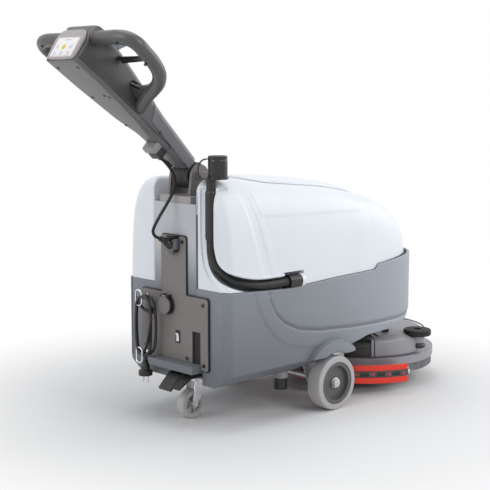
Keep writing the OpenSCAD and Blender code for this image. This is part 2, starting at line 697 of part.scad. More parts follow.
// ---- squeegee ----
sq_x = deck_x - 13;
sq_bottom = squeegee_lift + 2; // lowest point of the lifted blades
strip_z0 = sq_bottom + 18;
strip_z1 = strip_z0 + 19;
sq_top = strip_z1 + 17;
holder_t = 9;            // thickness of the blade holder
blade_t = 3.5;
blade_r = squeegee_r + holder_t / 2 + blade_t / 2 + 0.3;
module arc_band(r, t, z0, z1, half) translate([sq_x, 0, z0]) rotate(180 - half)
    rotate_extrude(angle = 2 * half, $fn = 120) translate([r - t / 2, 0]) square([t, z1 - z0]);
module squeegee_frame() color([0.3, 0.3, 0.31]) row() {
    arc_band(squeegee_r, holder_t, strip_z0, strip_z1, squeegee_half);
    for (y = [-lift_y, lift_y]) {
        x_arc = sq_x - sqrt(squeegee_r * squeegee_r - y * y);
        block(x_arc + 1.5, guide_x + 10, y - 11, y + 11, strip_z1 - 12, strip_z1 + 6);
        translate([guide_x, y, strip_z1]) cylinder(d = guide_d, h = guide_top - strip_z1);
    }
}
module squeegee_blades() color([0.88, 0.2, 0.14]) row() {
    arc_band(blade_r, blade_t, strip_z0 + 12, sq_top, squeegee_half - 1);
    arc_band(blade_r, blade_t, sq_bottom, strip_z0 + 6, squeegee_half - 1);
}

// ---- pedals ----
module pedal(y0, y1, outline) difference() {
    union() {
        side_plate(y0, y1) polygon(outline);
        translate([pedal_x, 0, pedal_z]) bar_y(2 * shaft_d, y0, y1);
    }
    translate([pedal_x, 0, pedal_z]) bar_y(shaft_d + 2 * run_gap, y0 - 1, y1 + 1);
}
module brush_pedal() color([0.16, 0.16, 0.16]) row() pedal(-42, 5, [[-58, 102], [-54, 97], [-15, 129],
    [pedal_x, 131], [pedal_x, 149], [-14, 139], [-21, 138]]);
module squeegee_pedal() color([0.1, 0.1, 0.1]) row() pedal(-80, -57, [[-62, 113], [-58, 108], [-16, 131],
    [pedal_x, 133], [pedal_x, 151], [-14, 143], [-24, 139]]);

// ---- recovery tank, lid and drain hose ----
hose_x = 10;
hose_y = -130;
cap_z0 = crown_z + 3;
hose_route = [[hose_x, hose_y, cap_z0], [10, -130, 560], [10, -130, 500], [11, -131, 470], [16, -137, 438],
    [30, -150, 410], [58, -168, 388], [100, -184, 377], [150, -190, 373], [223.7, -190, 373]];
hose_out = [[-1, 0, 0], [-1, 0, 0], [-1, 0, 0], [-1, -0.2, 0], [-1, -0.5, 0], [-1, -1, 0], [-0.4, -1, 0],
    [0, -1, 0], [0, -1, 0], [0, -1, 0]];
groove_r = hose_d / 2 + 4;
mouth_d = 170;
mouth_x = lid_x0 + lid_l * 0.46;
notch_gap = 1;
module hose_groove(extra) for (i = [0:len(hose_route) - 2]) hull() for (k = [i, i + 1])
    for (s = [0, 1]) translate(hose_route[k] + s * 60 * unit(hose_out[k]))
        sphere(r = groove_r + extra, $fn = 12);
module column_notch(extra) {
    block(-10, column_d + notch_gap + extra,
        -column_w / 2 - notch_gap - extra, column_w / 2 + notch_gap + extra,
        200, column_z + notch_gap + extra);
    block(-10, column_d + 12 + extra, -64 - extra, 64 + extra, column_z - 40, 800);
}
module cap_seat(extra) translate([hose_x, hose_y, 600]) cylinder(r = groove_r + extra, h = 200);
module recovery_tank() color([0.9, 0.92, 0.94]) row() difference() {
    dome(0, split_z - 40);
    below_split(skin_gap);
    difference() {
        dome(tank_wall, split_z - 40);
        below_split(skin_gap + tank_wall);
        column_notch(tank_wall);
        hose_groove(tank_wall);
        cap_seat(tank_wall);
        block(pocket_x0 - tank_wall, pocket_x1 + tank_wall, -220, coupling_y + 22 + tank_wall, 300,
            coupling_z + 24 + tank_wall);
    }
    column_notch(0);
    hose_groove(0);
    cap_seat(0);
    block(pocket_x0, pocket_x1, -220, coupling_y + 22, 300, coupling_z + 24);
    translate([mouth_x, 0, 500]) cylinder(d = mouth_d, h = 300);
}

// shallow domed lid on the tank's shoulder, hollow over the mouth
lid_t = 3;
lid_edge = 5;
lid_gap = 0.95;          // gap between the lid's rim and the tank
lid_n = 3;
lid_spokes = 40;
// a spot on the lid's plan: rho runs from its middle to its edge, k counts round it
function lid_spot(rho, k) = let (a = 360 * k / lid_spokes, c = cos(a), s = sin(a),
    g = rho * pow(pow(abs(c), lid_n) + pow(abs(s), lid_n), -1 / lid_n))
    [(lid_x0 + lid_x1) / 2 + g * c * lid_l / 2, g * s * lid_w / 2];
function lid_ring(rho, lift) = [for (k = [0:lid_spokes - 1]) let (p = lid_spot(rho, k))
    [p[0], p[1], shoulder(p[0], p[1]) + lift]];
function lid_crown(rho) = lid_edge + (lid_rise - lid_edge) * pow(1 - pow(rho, 3), 0.6);
module tank_lid() color([0.91, 0.93, 0.95]) row() skin(concat(
    [for (rho = [0.03, 0.3, 0.55, 0.75, 0.88, 0.96, 1]) lid_ring(rho, lid_crown(rho))],
    [lid_ring(1, lid_gap), lid_ring(0.86, lid_gap)],
    [for (rho = [0.85, 0.6, 0.3, 0.03]) lid_ring(rho, lid_crown(rho) - lid_t)]));
module lid_gasket() difference() {
    intersection() {
        translate([mouth_x, 0, 500]) cylinder(d = mouth_d + 16, h = 300);
        translate([0, 0, 6]) dome(0, split_z - 40);
    }
    dome(0, split_z - 60);
    translate([mouth_x, 0, 480]) cylinder(d = mouth_d, h = 400);
}

module gaskets() color([0.1, 0.1, 0.1]) row() {
    panel_gasket();
    lid_gasket();
}

cap_x = 28;
cap_y = -135;
cap_h = 57;
neck_h = 3;
neck_x = 16;
clip_r = groove_r - 1.2;
module drain_hose() color([0.1, 0.1, 0.1]) row() swept(route_points(hose_route, 5), hose_d, 16);
module cap_neck() difference() {
    translate([neck_x, cap_y + 3, cap_z0 - neck_h]) cylinder(d = 48, h = neck_h);
    translate([hose_x, hose_y, 0]) cylinder(d = hose_d + 0.1, h = 800);
}
module drain_cap() color([0.16, 0.16, 0.16]) row() translate([cap_x, cap_y, cap_z0]) {
    cylinder(d = cap_d, h = cap_h);
    for (k = [0:17]) rotate(20 * k) translate([cap_d / 2 - 1, -1.5, 6]) cube([2, 3, cap_h - 14]);
}
module cap_bracket() block(pivot_x - 14, pivot_x + 10, cap_y + cap_d / 2 + 2, -cheek_in - 7,
    crown_z + 2, crown_z + 15);
module hose_clip() translate([hose_x, hose_y, 500]) difference() {
    cylinder(r = clip_r, h = 100);
    cylinder(d = hose_d + 0.1, h = 300, center = true);
    block(-30, -8, -30, 30, -1, 101);
}
module cable_fittings() color([0.13, 0.13, 0.13]) row() {
    stem_connector();
    lead_gland();
    hose_clip();
}
cuff_x0 = 224;
cuff_x1 = 268;
module hose_cuff() translate([0, coupling_y, coupling_z]) bar_x(38, cuff_x0, cuff_x1);
module hose_ring() color([0.93, 0.93, 0.93]) row() translate([0, coupling_y, coupling_z])
    bar_x(36, cuff_x1, pocket_x1);
module solution_coupling() translate([0, coupling_y - 4, split_z - 22]) {
    bar_x(13, pocket_x0 + 30, pocket_x1 - 10);
    translate([pocket_x0 + 50, 0, 0]) bar_y(9, 0, 10);
}
module hose_couplings() color([0.13, 0.13, 0.13]) row() {
    hose_cuff();
    solution_coupling();
    cap_neck();
}

// ---- inside the tanks ----
battery_x0 = 60;
battery_l = 235;
battery_gap = 16;        // gap between the two batteries
battery_w = 140;
module battery_pack() color([0.15, 0.16, 0.2]) row() both_sides()
    block(battery_x0, battery_x0 + battery_l, battery_gap / 2, battery_gap / 2 + battery_w,
        floor_z + tank_wall, split_z - 30);
vacuum_x = tank_l - 188;
vacuum_d = 130;
vacuum_h = 120;
inlet_pipe_d = 60;
module vacuum_motor() color([0.25, 0.25, 0.27]) row() difference() {
    translate([vacuum_x, 0, split_z]) {
        cylinder(d = vacuum_d, h = vacuum_h);
        cylinder(d = inlet_pipe_d, h = vacuum_h + 18);
    }
    below_split(skin_gap + tank_wall);
}

// ---- solution filter ----
filter_x = 262;
filter_y = -132;
module filter_head() color([0.15, 0.15, 0.15]) row() translate([filter_x, filter_y, 0]) difference() {
    translate([0, 0, 98]) cylinder(d = 40, h = floor_z - 98);
    translate([0, 0, 97]) cylinder(d = 26, h = 13);
}
module filter_bowl() color([0.2, 0.2, 0.2]) row() translate([filter_x, filter_y, 0]) difference() {
    union() {
        translate([0, 0, 66]) cylinder(d = 36, h = 31.7);
        translate([0, 0, 90]) cylinder(d = 26 - 2 * run_gap, h = 17);
    }
    translate([0, 0, 70]) cylinder(d = 20, h = 60);
}

// ---- handle ----
// q runs across the column (forward and up), p runs along it from the pivot
module tilted() row() translate([pivot_x, 0, pivot_z]) rotate([0, -lean, 0]) children();
q_front = 33;
p_low = 34;
p_seam = 232;
shell_t = 3.5;
q_seam = -8;
cover_t = 12;
w_low = 35;
w_face = 58;
tip_p = 190;
tip_q = -32;
q_high = q_low + face_len * cos(face_tilt);
p_high = console_p + face_len * sin(face_tilt);
// rings up the column: height, rear edge, half width of the rear face, front edge, half width
handle_rings = [[p_low, tip_q + 24, 20, q_front, w_low], [tip_p, tip_q, 20, q_front + 4, w_low + 1],
    [tip_p + 62, -42, 40, q_front + 5, 44], [385, -62, 55, q_front + 9, 56],
    [482, q_low + 1, w_face, 46, w_face],
    [540, q_low - 8, w_face, 46, w_face]];
bevel_rear = 14;
bevel_front = 12;
module top_outline() polygon([[-250, 0], [-250, console_p - (250 + q_low) * tan(face_tilt)],
    [q_high, p_high],
    [q_high + 20, p_high - 4], [60, p_high - 78], [60, 0]]);
module handle_solid(inset) intersection() {
    skin([for (r = handle_rings) let (q0 = r[1] + inset, q1 = r[3] - inset,
        w0 = r[2] - inset, w1 = r[4] - inset,
        p = r[0] + (r[0] == p_low ? inset : 0))
            [[q0, -w0, p], [q0 + bevel_rear, -w1, p], [q1 - bevel_front, -w1, p], [q1, bevel_rear - w1, p],
                [q1, w1 - bevel_rear, p], [q1 - bevel_front, w1, p],
                [q0 + bevel_rear, w1, p], [q0, w0, p]]]);
    side_region() offset(delta = -inset) top_outline();
}
module side_region(y = 100) translate([0, y, 0]) rotate([90, 0, 0]) linear_extrude(2 * y) children();
module rear_region() polygon([[-150, 0], [tip_q + cover_t + 24, p_low - 10], [tip_q + cover_t, tip_p],
    [q_low + cover_t, console_p], [q_low + cover_t, 600], [-150, 600]]);
module front_region() polygon([[q_seam, 0], [q_seam, p_seam - 20], [q_front + 5, p_seam + 12], [100, 0]]);
drum_d = 70;
pin_shaft = 14;
module neck() block(tip_q + 29, q_front - 4, bevel_rear - w_low, w_low - bevel_rear, 24, p_low + 16);
module handle_shell() difference() {
    handle_solid(0);
    handle_solid(shell_t);
    bar_y(drum_d + 2, -80, 80);
    neck();
}
module handle_body() color([0.24, 0.24, 0.24]) tilted() {
    difference() {
        handle_shell();
        side_region() rear_region();
        side_region() front_region();
    }
    // hinge drum with its neck
    difference() {
        union() {
            bar_y(drum_d, -w_low + 4, w_low - 4);
            neck();
        }
        bar_y(pin_shaft + 2 * run_gap, -80, 80);
    }
}
module column_cover() color([0.4, 0.39, 0.4]) tilted() intersection() {
    handle_shell();
    side_region() difference() {
        front_region();
        rear_region();
    }
}
hood_p0 = 134;
hood_p1 = 150;
box_p0 = 110;
box_q = -46;
box_half = 22;
module rear_cover() color([0.5, 0.5, 0.5]) tilted() {
    intersection() {
        handle_shell();
        side_region() rear_region();
    }
    difference() {
        block(box_q, tip_q + cover_t, -box_half, box_half, hood_p0, hood_p1);
        handle_solid(0);
    }
}
module cable_box() color([0.2, 0.2, 0.2]) tilted() difference() {
    block(box_q + 2, tip_q + cover_t, 2 - box_half, box_half - 2, box_p0, hood_p0);
    handle_solid(0);
}
module face_frame() tilted() translate([q_low, 0, console_p]) rotate([0, -face_tilt, 0]) children();
module face_outline() polygon([[4, -w_face + 1], [face_len - 16, -w_face + 1], [face_len, -w_face + 12],
    [face_len, w_face - 12], [face_len - 16, w_face - 1], [4, w_face - 1],
    [0, w_face - 5], [0, -w_face + 5]]);
module console_face() color([0.71, 0.69, 0.7]) face_frame() linear_extrude(face_t) face_outline();
module key_overlay() color([0.95, 0.95, 0.95]) face_frame() translate([0, 0, face_t])
    linear_extrude(0.8) rounded(3) translate([7, -44]) square([55, 88]);

// middle line of a loop: distance across the column, out from the middle, and up the column
leg_y = loop_w / 2;
grip_p = console_p - 8;
loop_route = [[3, 30, grip_p], [3, 100, grip_p], [3, leg_y - 40, grip_p], [5, leg_y - 12, grip_p - 8],
    [8, leg_y + 2, grip_p - 28], [12, leg_y, grip_p - 58], [16, leg_y - 4, grip_p - 92],
    [16, leg_y - 13, 354], [11, leg_y - 31, 329], [6, 124, 312], [1, 97, 299], [-5, 68, 282],
    [-12, 38, 264], [-18, 12, 252]];
web_t = 8;
trigger_p = console_p - 34;
trigger_q = 22;
trigger_end = leg_y - 4;
lever_p = console_p - 85;
lever_q = 14;
lever_end = leg_y - 12;
pin_small = 5;
module loop() difference() {
    union() {
        swept(route_points(loop_route, 3), grip_d, 16);
        // web between the return of the loop and the side of the column
        hull() for (v = [[12, leg_y - 34, 322], [4, 100, 300], [-10, 30, 262], [4, 30, 322], [8, 100, 318]])
            translate(v) sphere(d = web_t, $fn = 8);
    }
    handle_solid(0);
    translate([trigger_q, 0, trigger_p]) bar_y(pin_small, 0, trigger_end);
    translate([lever_q, 0, lever_p]) bar_y(pin_small, 0, lever_end);
}
module loop_left() color([0.27, 0.27, 0.27]) tilted() loop();
module loop_right() color([0.27, 0.27, 0.27]) tilted() scale([1, -1, 1]) loop();
module handle_pins() color([0.7, 0.7, 0.7]) tilted() difference() {
    union() {
        both_sides() translate([trigger_q, 0, trigger_p]) bar_y(pin_small, w_low, trigger_end);
        translate([lever_q, 0, lever_p]) scale([1, -1, 1]) bar_y(pin_small, w_low, lever_end);
    }
    handle_solid(0);
}
module paddle(q, p, y0, y1, drop, t) translate([q, 0, p]) difference() {
    union() {
        bar_y(10, y0, y1);
        translate([5 - t, 0, 0]) block(0, t, y0, y1, -drop, 0);
    }
    bar_y(pin_small + 2 * run_gap, y0 - 1, y1 + 1);
}
module trigger_left() color([0.7, 0.74, 0.78]) tilted() paddle(trigger_q, trigger_p, 66, 146, 34, 4);
module trigger_right() color([0.7, 0.74, 0.78]) tilted() scale([1, -1, 1])
    paddle(trigger_q, trigger_p, 66, 146, 34, 4);
module release_lever() color([0.08, 0.08, 0.08]) tilted() scale([1, -1, 1])
    paddle(lever_q, lever_p, 60, 150, 16, 5);

// ---- handle hinge on the column ----
plate_top_z = column_z + 18;
cheek_in = w_low + 1.5;
module pivot_plate() color([0.72, 0.69, 0.69]) row() block(1, column_d - 1, -60, 60, column_z, plate_top_z);
module hinge_cheeks() both_sides() side_plate(cheek_in, cheek_in + 8) difference() {
    hull() {
        translate([pivot_x, pivot_z]) circle(r = 30);
        translate([pivot_x - 36, plate_top_z]) square([72, 4]);
    }
    translate([pivot_x, pivot_z]) circle(d = pin_shaft + 2 * run_gap);
}
module column_brackets() color([0.62, 0.6, 0.6]) row() {
    hinge_cheeks();
    cap_bracket();
}
module hinge_pin() color([0.75, 0.75, 0.76]) row() translate([pivot_x, 0, pivot_z])
    bar_y(pin_shaft, -cheek_in - 6.9, cheek_in + 6.9);

// ---- control cable ----
cable_route = [[-50.6, 0, 708.8], [-44, 0, 702.3], [-29, 0, 690], [-12, 0, 672], [-1, 0, 652], [0, 0, 632], [-8, 0, 610],
    [-27, 0, 584], [-52, 0, 553], [-67, 2, 530], [-70, 5, 516], [-62, 8, 503], [-46.3, 6.06, 495.15]];
module control_cable() color([0.07, 0.07, 0.07]) row() swept(route_points(cable_route, 3), cable_d, 10);

base_tank();
rear_panel();
gaskets();
panel_screws();
chassis_frame();
drive_axle();
pedal_shaft();
caster_plate();
battery_pack();
recovery_tank();
vacuum_motor();
pivot_plate();
column_brackets();
hinge_pin();
cord_hooks();
inlet_socket();
cable_fittings();
drain_hose();
hose_couplings();
hose_ring();
filter_head();
handle_body();
column_cover();
rear_cover();
console_face();
key_overlay();
loop_right();
loop_left();
cable_box();
handle_pins();
trigger_right();
trigger_left();
release_lever();
tyre_right();
hub_right();
tyre_left();
hub_left();
caster_fork();
caster_wheel();
caster_hub();
deck_cover();
deck_pins();
brush_motor();
splash_skirt();
disc_brush();
bumper_right();
bumper_left();
squeegee_frame();
squeegee_blades();
brush_pedal();
squeegee_pedal();
tank_lid();
drain_cap();
filter_bowl();
inlet_flap();
rocker_switch();
control_cable();
lead_hank();
lead_tail();
lead_plug();
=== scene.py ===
"""Compact walk-behind wet dry floor scrubber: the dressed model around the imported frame."""
import math
import bpy
import bmesh
import numpy as np
from bpy.props import FloatProperty, FloatVectorProperty, IntProperty, PointerProperty
from mathutils import Euler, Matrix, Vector


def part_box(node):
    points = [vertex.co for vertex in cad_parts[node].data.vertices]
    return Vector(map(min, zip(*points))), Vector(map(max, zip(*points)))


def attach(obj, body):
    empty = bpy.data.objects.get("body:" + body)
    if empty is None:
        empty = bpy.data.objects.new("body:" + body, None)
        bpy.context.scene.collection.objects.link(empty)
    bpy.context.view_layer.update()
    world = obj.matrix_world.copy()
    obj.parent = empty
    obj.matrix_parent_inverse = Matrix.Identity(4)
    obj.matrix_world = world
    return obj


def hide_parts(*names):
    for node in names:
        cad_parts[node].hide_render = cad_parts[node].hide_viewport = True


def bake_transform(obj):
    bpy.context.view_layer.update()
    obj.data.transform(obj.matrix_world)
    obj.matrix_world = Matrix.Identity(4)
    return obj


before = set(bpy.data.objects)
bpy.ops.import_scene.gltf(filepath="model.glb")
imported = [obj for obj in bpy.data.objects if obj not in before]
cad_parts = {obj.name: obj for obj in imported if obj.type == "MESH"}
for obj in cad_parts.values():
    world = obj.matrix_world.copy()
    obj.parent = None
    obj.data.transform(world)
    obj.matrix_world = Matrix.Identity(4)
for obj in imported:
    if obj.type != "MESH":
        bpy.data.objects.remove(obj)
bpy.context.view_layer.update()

bl_info = {
    "name": "Walk-behind floor scrubber",
    "version": (1, 0, 0),
    "blender": (4, 5, 0),
    "location": "3D View > Sidebar > Scrubber",
    "description": "Makes the shells, hoses, wheels, controls and finishes of a floor scrubber",
    "category": "Object",
}

# ---- frame: millimetres counted forward from the tank's rear face, moved to the row frame ----
WHEEL_X, WHEEL_R = 390.0, 75.0
MIDDLE = WHEEL_X - 500.0 * (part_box("tyre_left")[0][0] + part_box("tyre_left")[1][0])
PIVOT = (50.0, 655.0)
LEAN = math.radians(45)
FACE_TILT = math.radians(11)
FACE_Q, FACE_P = -78.0, 489.0


def xyz(points):
    """The three coordinates of an array of points."""
    return np.moveaxis(np.asarray(points, float), -1, 0)


def row(points):
    """Millimetres in the tank's frame to metres in the row frame."""
    x, y, z = xyz(points)
    return np.stack([x - MIDDLE, y, z], -1) / 1000.0


def tilted(points):
    """Handle frame (across the column, sideways, up the column) to the tank's frame."""
    q, y, u = xyz(points)
    c, s = math.cos(LEAN), math.sin(LEAN)
    return np.stack([PIVOT[0] + q * c - u * s, y, PIVOT[1] + q * s + u * c], -1)


def face(points):
    """Console frame (up the face, sideways, out of the face) to the tank's frame."""
    a, y, h = xyz(points)
    c, s = math.cos(FACE_TILT), math.sin(FACE_TILT)
    return tilted(np.stack([FACE_Q + a * c - h * s, y, FACE_P + a * s + h * c], -1))


def backwards(x):
    """Place for outlines in (sideways, upwards) with heights that stand rearwards from x."""
    return lambda p: np.stack([x - p[..., 2], p[..., 0], p[..., 1]], -1)


# ---------------------------------------------------------------- curves and profiles

def smooth(t):
    """0 below 0, 1 above 1, eased between."""
    t = np.clip(t, 0, 1)
    return t * t * (3 - 2 * t)


def drawn_in(d, r):
    """Distance that a quarter-round of radius r has drawn in at distance d from its edge."""
    c = np.clip(r - d, 0, r)
    return r - np.sqrt(r * r - c * c)


def unit(v):
    """Vectors of length one."""
    return v / np.maximum(np.linalg.norm(v, axis=-1, keepdims=True), 1e-9)


def spline(points, steps):
    """Catmull-Rom curve through the points, the end points doubled."""
    p = np.asarray(points, float)
    a = np.concatenate([p[:1], p, p[-1:]])
    t = (np.arange(steps) / steps)[None, :, None]
    p0, p1, p2, p3 = (a[i:len(a) - 3 + i, None, :] for i in range(4))
    c = 0.5 * (2 * p1 + (p2 - p0) * t + (2 * p0 - 5 * p1 + 4 * p2 - p3) * t ** 2
               + (p3 - p0 + 3 * (p1 - p2)) * t ** 3)
    return np.concatenate([c.reshape(-1, p.shape[1]), p[-1:]])


def travelled(path):
    """Distance along a path at each of its points."""
    return np.concatenate([[0], np.cumsum(np.linalg.norm(np.diff(path, axis=0), axis=1))])


def even(path, step):
    """The path again, with its points evenly spaced along it."""
    d = travelled(path)
    s = np.linspace(0, d[-1], max(2, int(round(d[-1] / step)) + 1))
    return np.stack([np.interp(s, d, k) for k in path.T], 1)


def rounded(points, radius, steps=4, closed=True):
    """Polyline whose corners are quadratic arcs; a third number at a corner is its own radius."""
    out = []
    n = len(points)
    for i, p in enumerate(points):
        r = p[2] if len(p) > 2 else radius
        here = np.array(p[:2], float)
        if r <= 0 or (not closed and i in (0, n - 1)):
            out.append(here[None])
            continue
        a = np.array(points[i - 1][:2], float) - here
        b = np.array(points[(i + 1) % n][:2], float) - here
        la, lb = np.linalg.norm(a), np.linalg.norm(b)
        a, b = here + a / la * min(r, la * 0.49), here + b / lb * min(r, lb * 0.49)
        t = np.linspace(0, 1, steps + 1)[:, None]
        out.append((1 - t) ** 2 * a + 2 * t * (1 - t) * here + t ** 2 * b)
    return np.concatenate(out)


def rectangle(x0, y0, x1, y1, radius, steps=4):
    """Rectangle with rounded corners."""
    return rounded([(x0, y0), (x1, y0), (x1, y1), (x0, y1)], radius, steps)


def inset(outline, d):
    """Closed outline moved inwards by d along the normals of its neighbours' chords."""
    t = unit(np.roll(outline, -1, 0) - np.roll(outline, 1, 0))
    x, y = outline[:, 0], outline[:, 1]
    turn = np.sign(np.sum(x * np.roll(y, -1) - np.roll(x, -1) * y))
    return outline + d * turn * np.stack([-t[:, 1], t[:, 0]], 1)


# ---------------------------------------------------------------- pieces
# a grid is its points, then whether its last row and its last column join the first

def ring_of(outline, d, h):
    """An outline drawn in by d and set at height h."""
    return np.column_stack([inset(outline, d), np.full(len(outline), h)])


def hub_of(outline, h):
    """The middle of an outline at height h, once for each of its points, to close a cap."""
    return np.column_stack([np.repeat(outline.mean(0)[None], len(outline), 0), np.full(len(outline), h)])


def slab(outline, h0, h1, edge, place):
    """Plate: a closed outline from height h0 to h1 with both rims quarter-rounded by edge."""
    a = np.radians([90, 60, 30, 0])
    rims = [(h1 - edge + edge * math.sin(k), edge * (1 - math.cos(k))) for k in a]
    rims += [(h0 + edge - edge * math.sin(k), edge * (1 - math.cos(k))) for k in a[::-1]]
    rings = [hub_of(outline, h1), *(ring_of(outline, d, h) for h, d in rims), hub_of(outline, h0)]
    return place(np.stack(rings)), False, True


def band(outline, d0, d1, h0, h1, place):
    """Closed strip of square section that follows an outline between two insets."""
    rings = [ring_of(outline, d, h) for d, h in ((d0, h0), (d1, h0), (d1, h1), (d0, h1))]
    return place(np.stack(rings)), True, True


def turned(profile, centre=(0, 0, 0), axis="z", sides=64, ripple=None, place=None):
    """Surface of revolution: a profile of (radius, height) turned about an axis through centre."""
    a = np.linspace(0, 2 * math.pi, sides, endpoint=False)
    r = np.repeat(profile[:, :1], sides, 1)
    if ripple is not None:
        r = r + ripple(profile[:, :1], profile[:, 1:2], a[None, :])
    h = np.repeat(profile[:, 1:2], sides, 1)
    u, v = r * np.cos(a), r * np.sin(a)
    order = {"z": (u, v, h), "y": (u, h, v), "x": (h, u, v)}[axis]
    grid = np.stack(order, -1) + np.asarray(centre, float)
    return (place(grid) if place else grid), False, True


def lathe(points, radius, steps, *where, **more):
    """Open profile with rounded corners, turned."""
    return turned(rounded(points, radius, steps, closed=False), *where, **more)


def frames(path, up):
    """Side and upright unit vectors along a path, from one fixed direction."""
    t = unit(np.gradient(path, axis=0))
    s = unit(np.cross(t, np.asarray(up, float)))
    return s, np.cross(s, t)


def tube(path, radius, sides=16, up=(0, 0, 1), squash=1.0, place=None):
    """Round tube: a circle of the given radius (one number or one per point) along a path."""
    s, u = frames(path, up)
    r = np.broadcast_to(np.asarray(radius, float), (len(path),))
    path, s, u = (np.concatenate([k[:1], k, k[-1:]]) for k in (path, s, u))
    r = np.concatenate([[0], r, [0]])
    a = np.linspace(0, 2 * math.pi, sides, endpoint=False)
    ring = np.cos(a)[None, :, None] * s[:, None] + squash * np.sin(a)[None, :, None] * u[:, None]
    grid = path[:, None] + r[:, None, None] * ring
    return (place(grid) if place else grid), False, True


def sector(profile, centre, a0, a1, steps=70):
    """Closed profile of (radius, height) swept about an upright axis between two angles."""
    a = np.linspace(math.radians(a0), math.radians(a1), steps)
    a = np.concatenate([a[:1], a, a[-1:]])[:, None]
    middle = np.repeat(profile.mean(0)[None], len(profile), 0)
    lines = np.stack([middle] + [profile] * steps + [middle])
    r, h = lines[..., 0], lines[..., 1]
    return np.stack([centre[0] + r * np.cos(a), centre[1] + r * np.sin(a), h], -1), False, True


def build(name, grids, finish, body, replaces=(), sharp=38):
    """One object from grids of points in millimetres; doubles merged, faces turned outwards."""
    points, faces, base = [], [], 0
    for g, wrap_u, wrap_v in grids:
        n, m = g.shape[:2]
        i, j = np.meshgrid(np.arange(n if wrap_u else n - 1), np.arange(m if wrap_v else m - 1), indexing="ij")
        i1, j1 = (i + 1) % n, (j + 1) % m
        faces.append(base + np.stack([i * m + j, i1 * m + j, i1 * m + j1, i * m + j1], -1).reshape(-1, 4))
        points.append(row(g).reshape(-1, 3))
        base += n * m
    mesh = bpy.data.meshes.new(name)
    mesh.from_pydata(np.concatenate(points), [], np.concatenate(faces))
    bm = bmesh.new()
    bm.from_mesh(mesh)
    bmesh.ops.remove_doubles(bm, verts=bm.verts, dist=2e-6)
    bmesh.ops.dissolve_degenerate(bm, edges=bm.edges, dist=1e-6)
    bmesh.ops.recalc_face_normals(bm, faces=bm.faces)
    bm.to_mesh(mesh)
    bm.free()
    mesh.shade_smooth()
    mesh.set_sharp_from_angle(angle=math.radians(sharp))
    piece = bpy.data.objects.new(name, mesh)
    bpy.context.scene.collection.objects.link(piece)
    mesh.materials.append(finish_of(finish))
    if body:
        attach(piece, body)
    if replaces:
        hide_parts(*replaces)
    return piece


# ---------------------------------------------------------------- materials

class Number:
    """A number carried by a shader socket; the operators add Math nodes."""

    def __init__(self, graph, socket):
        self.graph, self.socket = graph, socket

    def _math(self, operation, a, b):
        return self.graph.number("ShaderNodeMath", {"operation": operation}, {0: a, 1: b})

    def __add__(self, other): return self._math("ADD", self, other)
    def __radd__(self, other): return self._math("ADD", other, self)
    def __sub__(self, other): return self._math("SUBTRACT", self, other)
    def __rsub__(self, other): return self._math("SUBTRACT", other, self)
    def __mul__(self, other): return self._math("MULTIPLY", self, other)
    def __rmul__(self, other): return self._math("MULTIPLY", other, self)


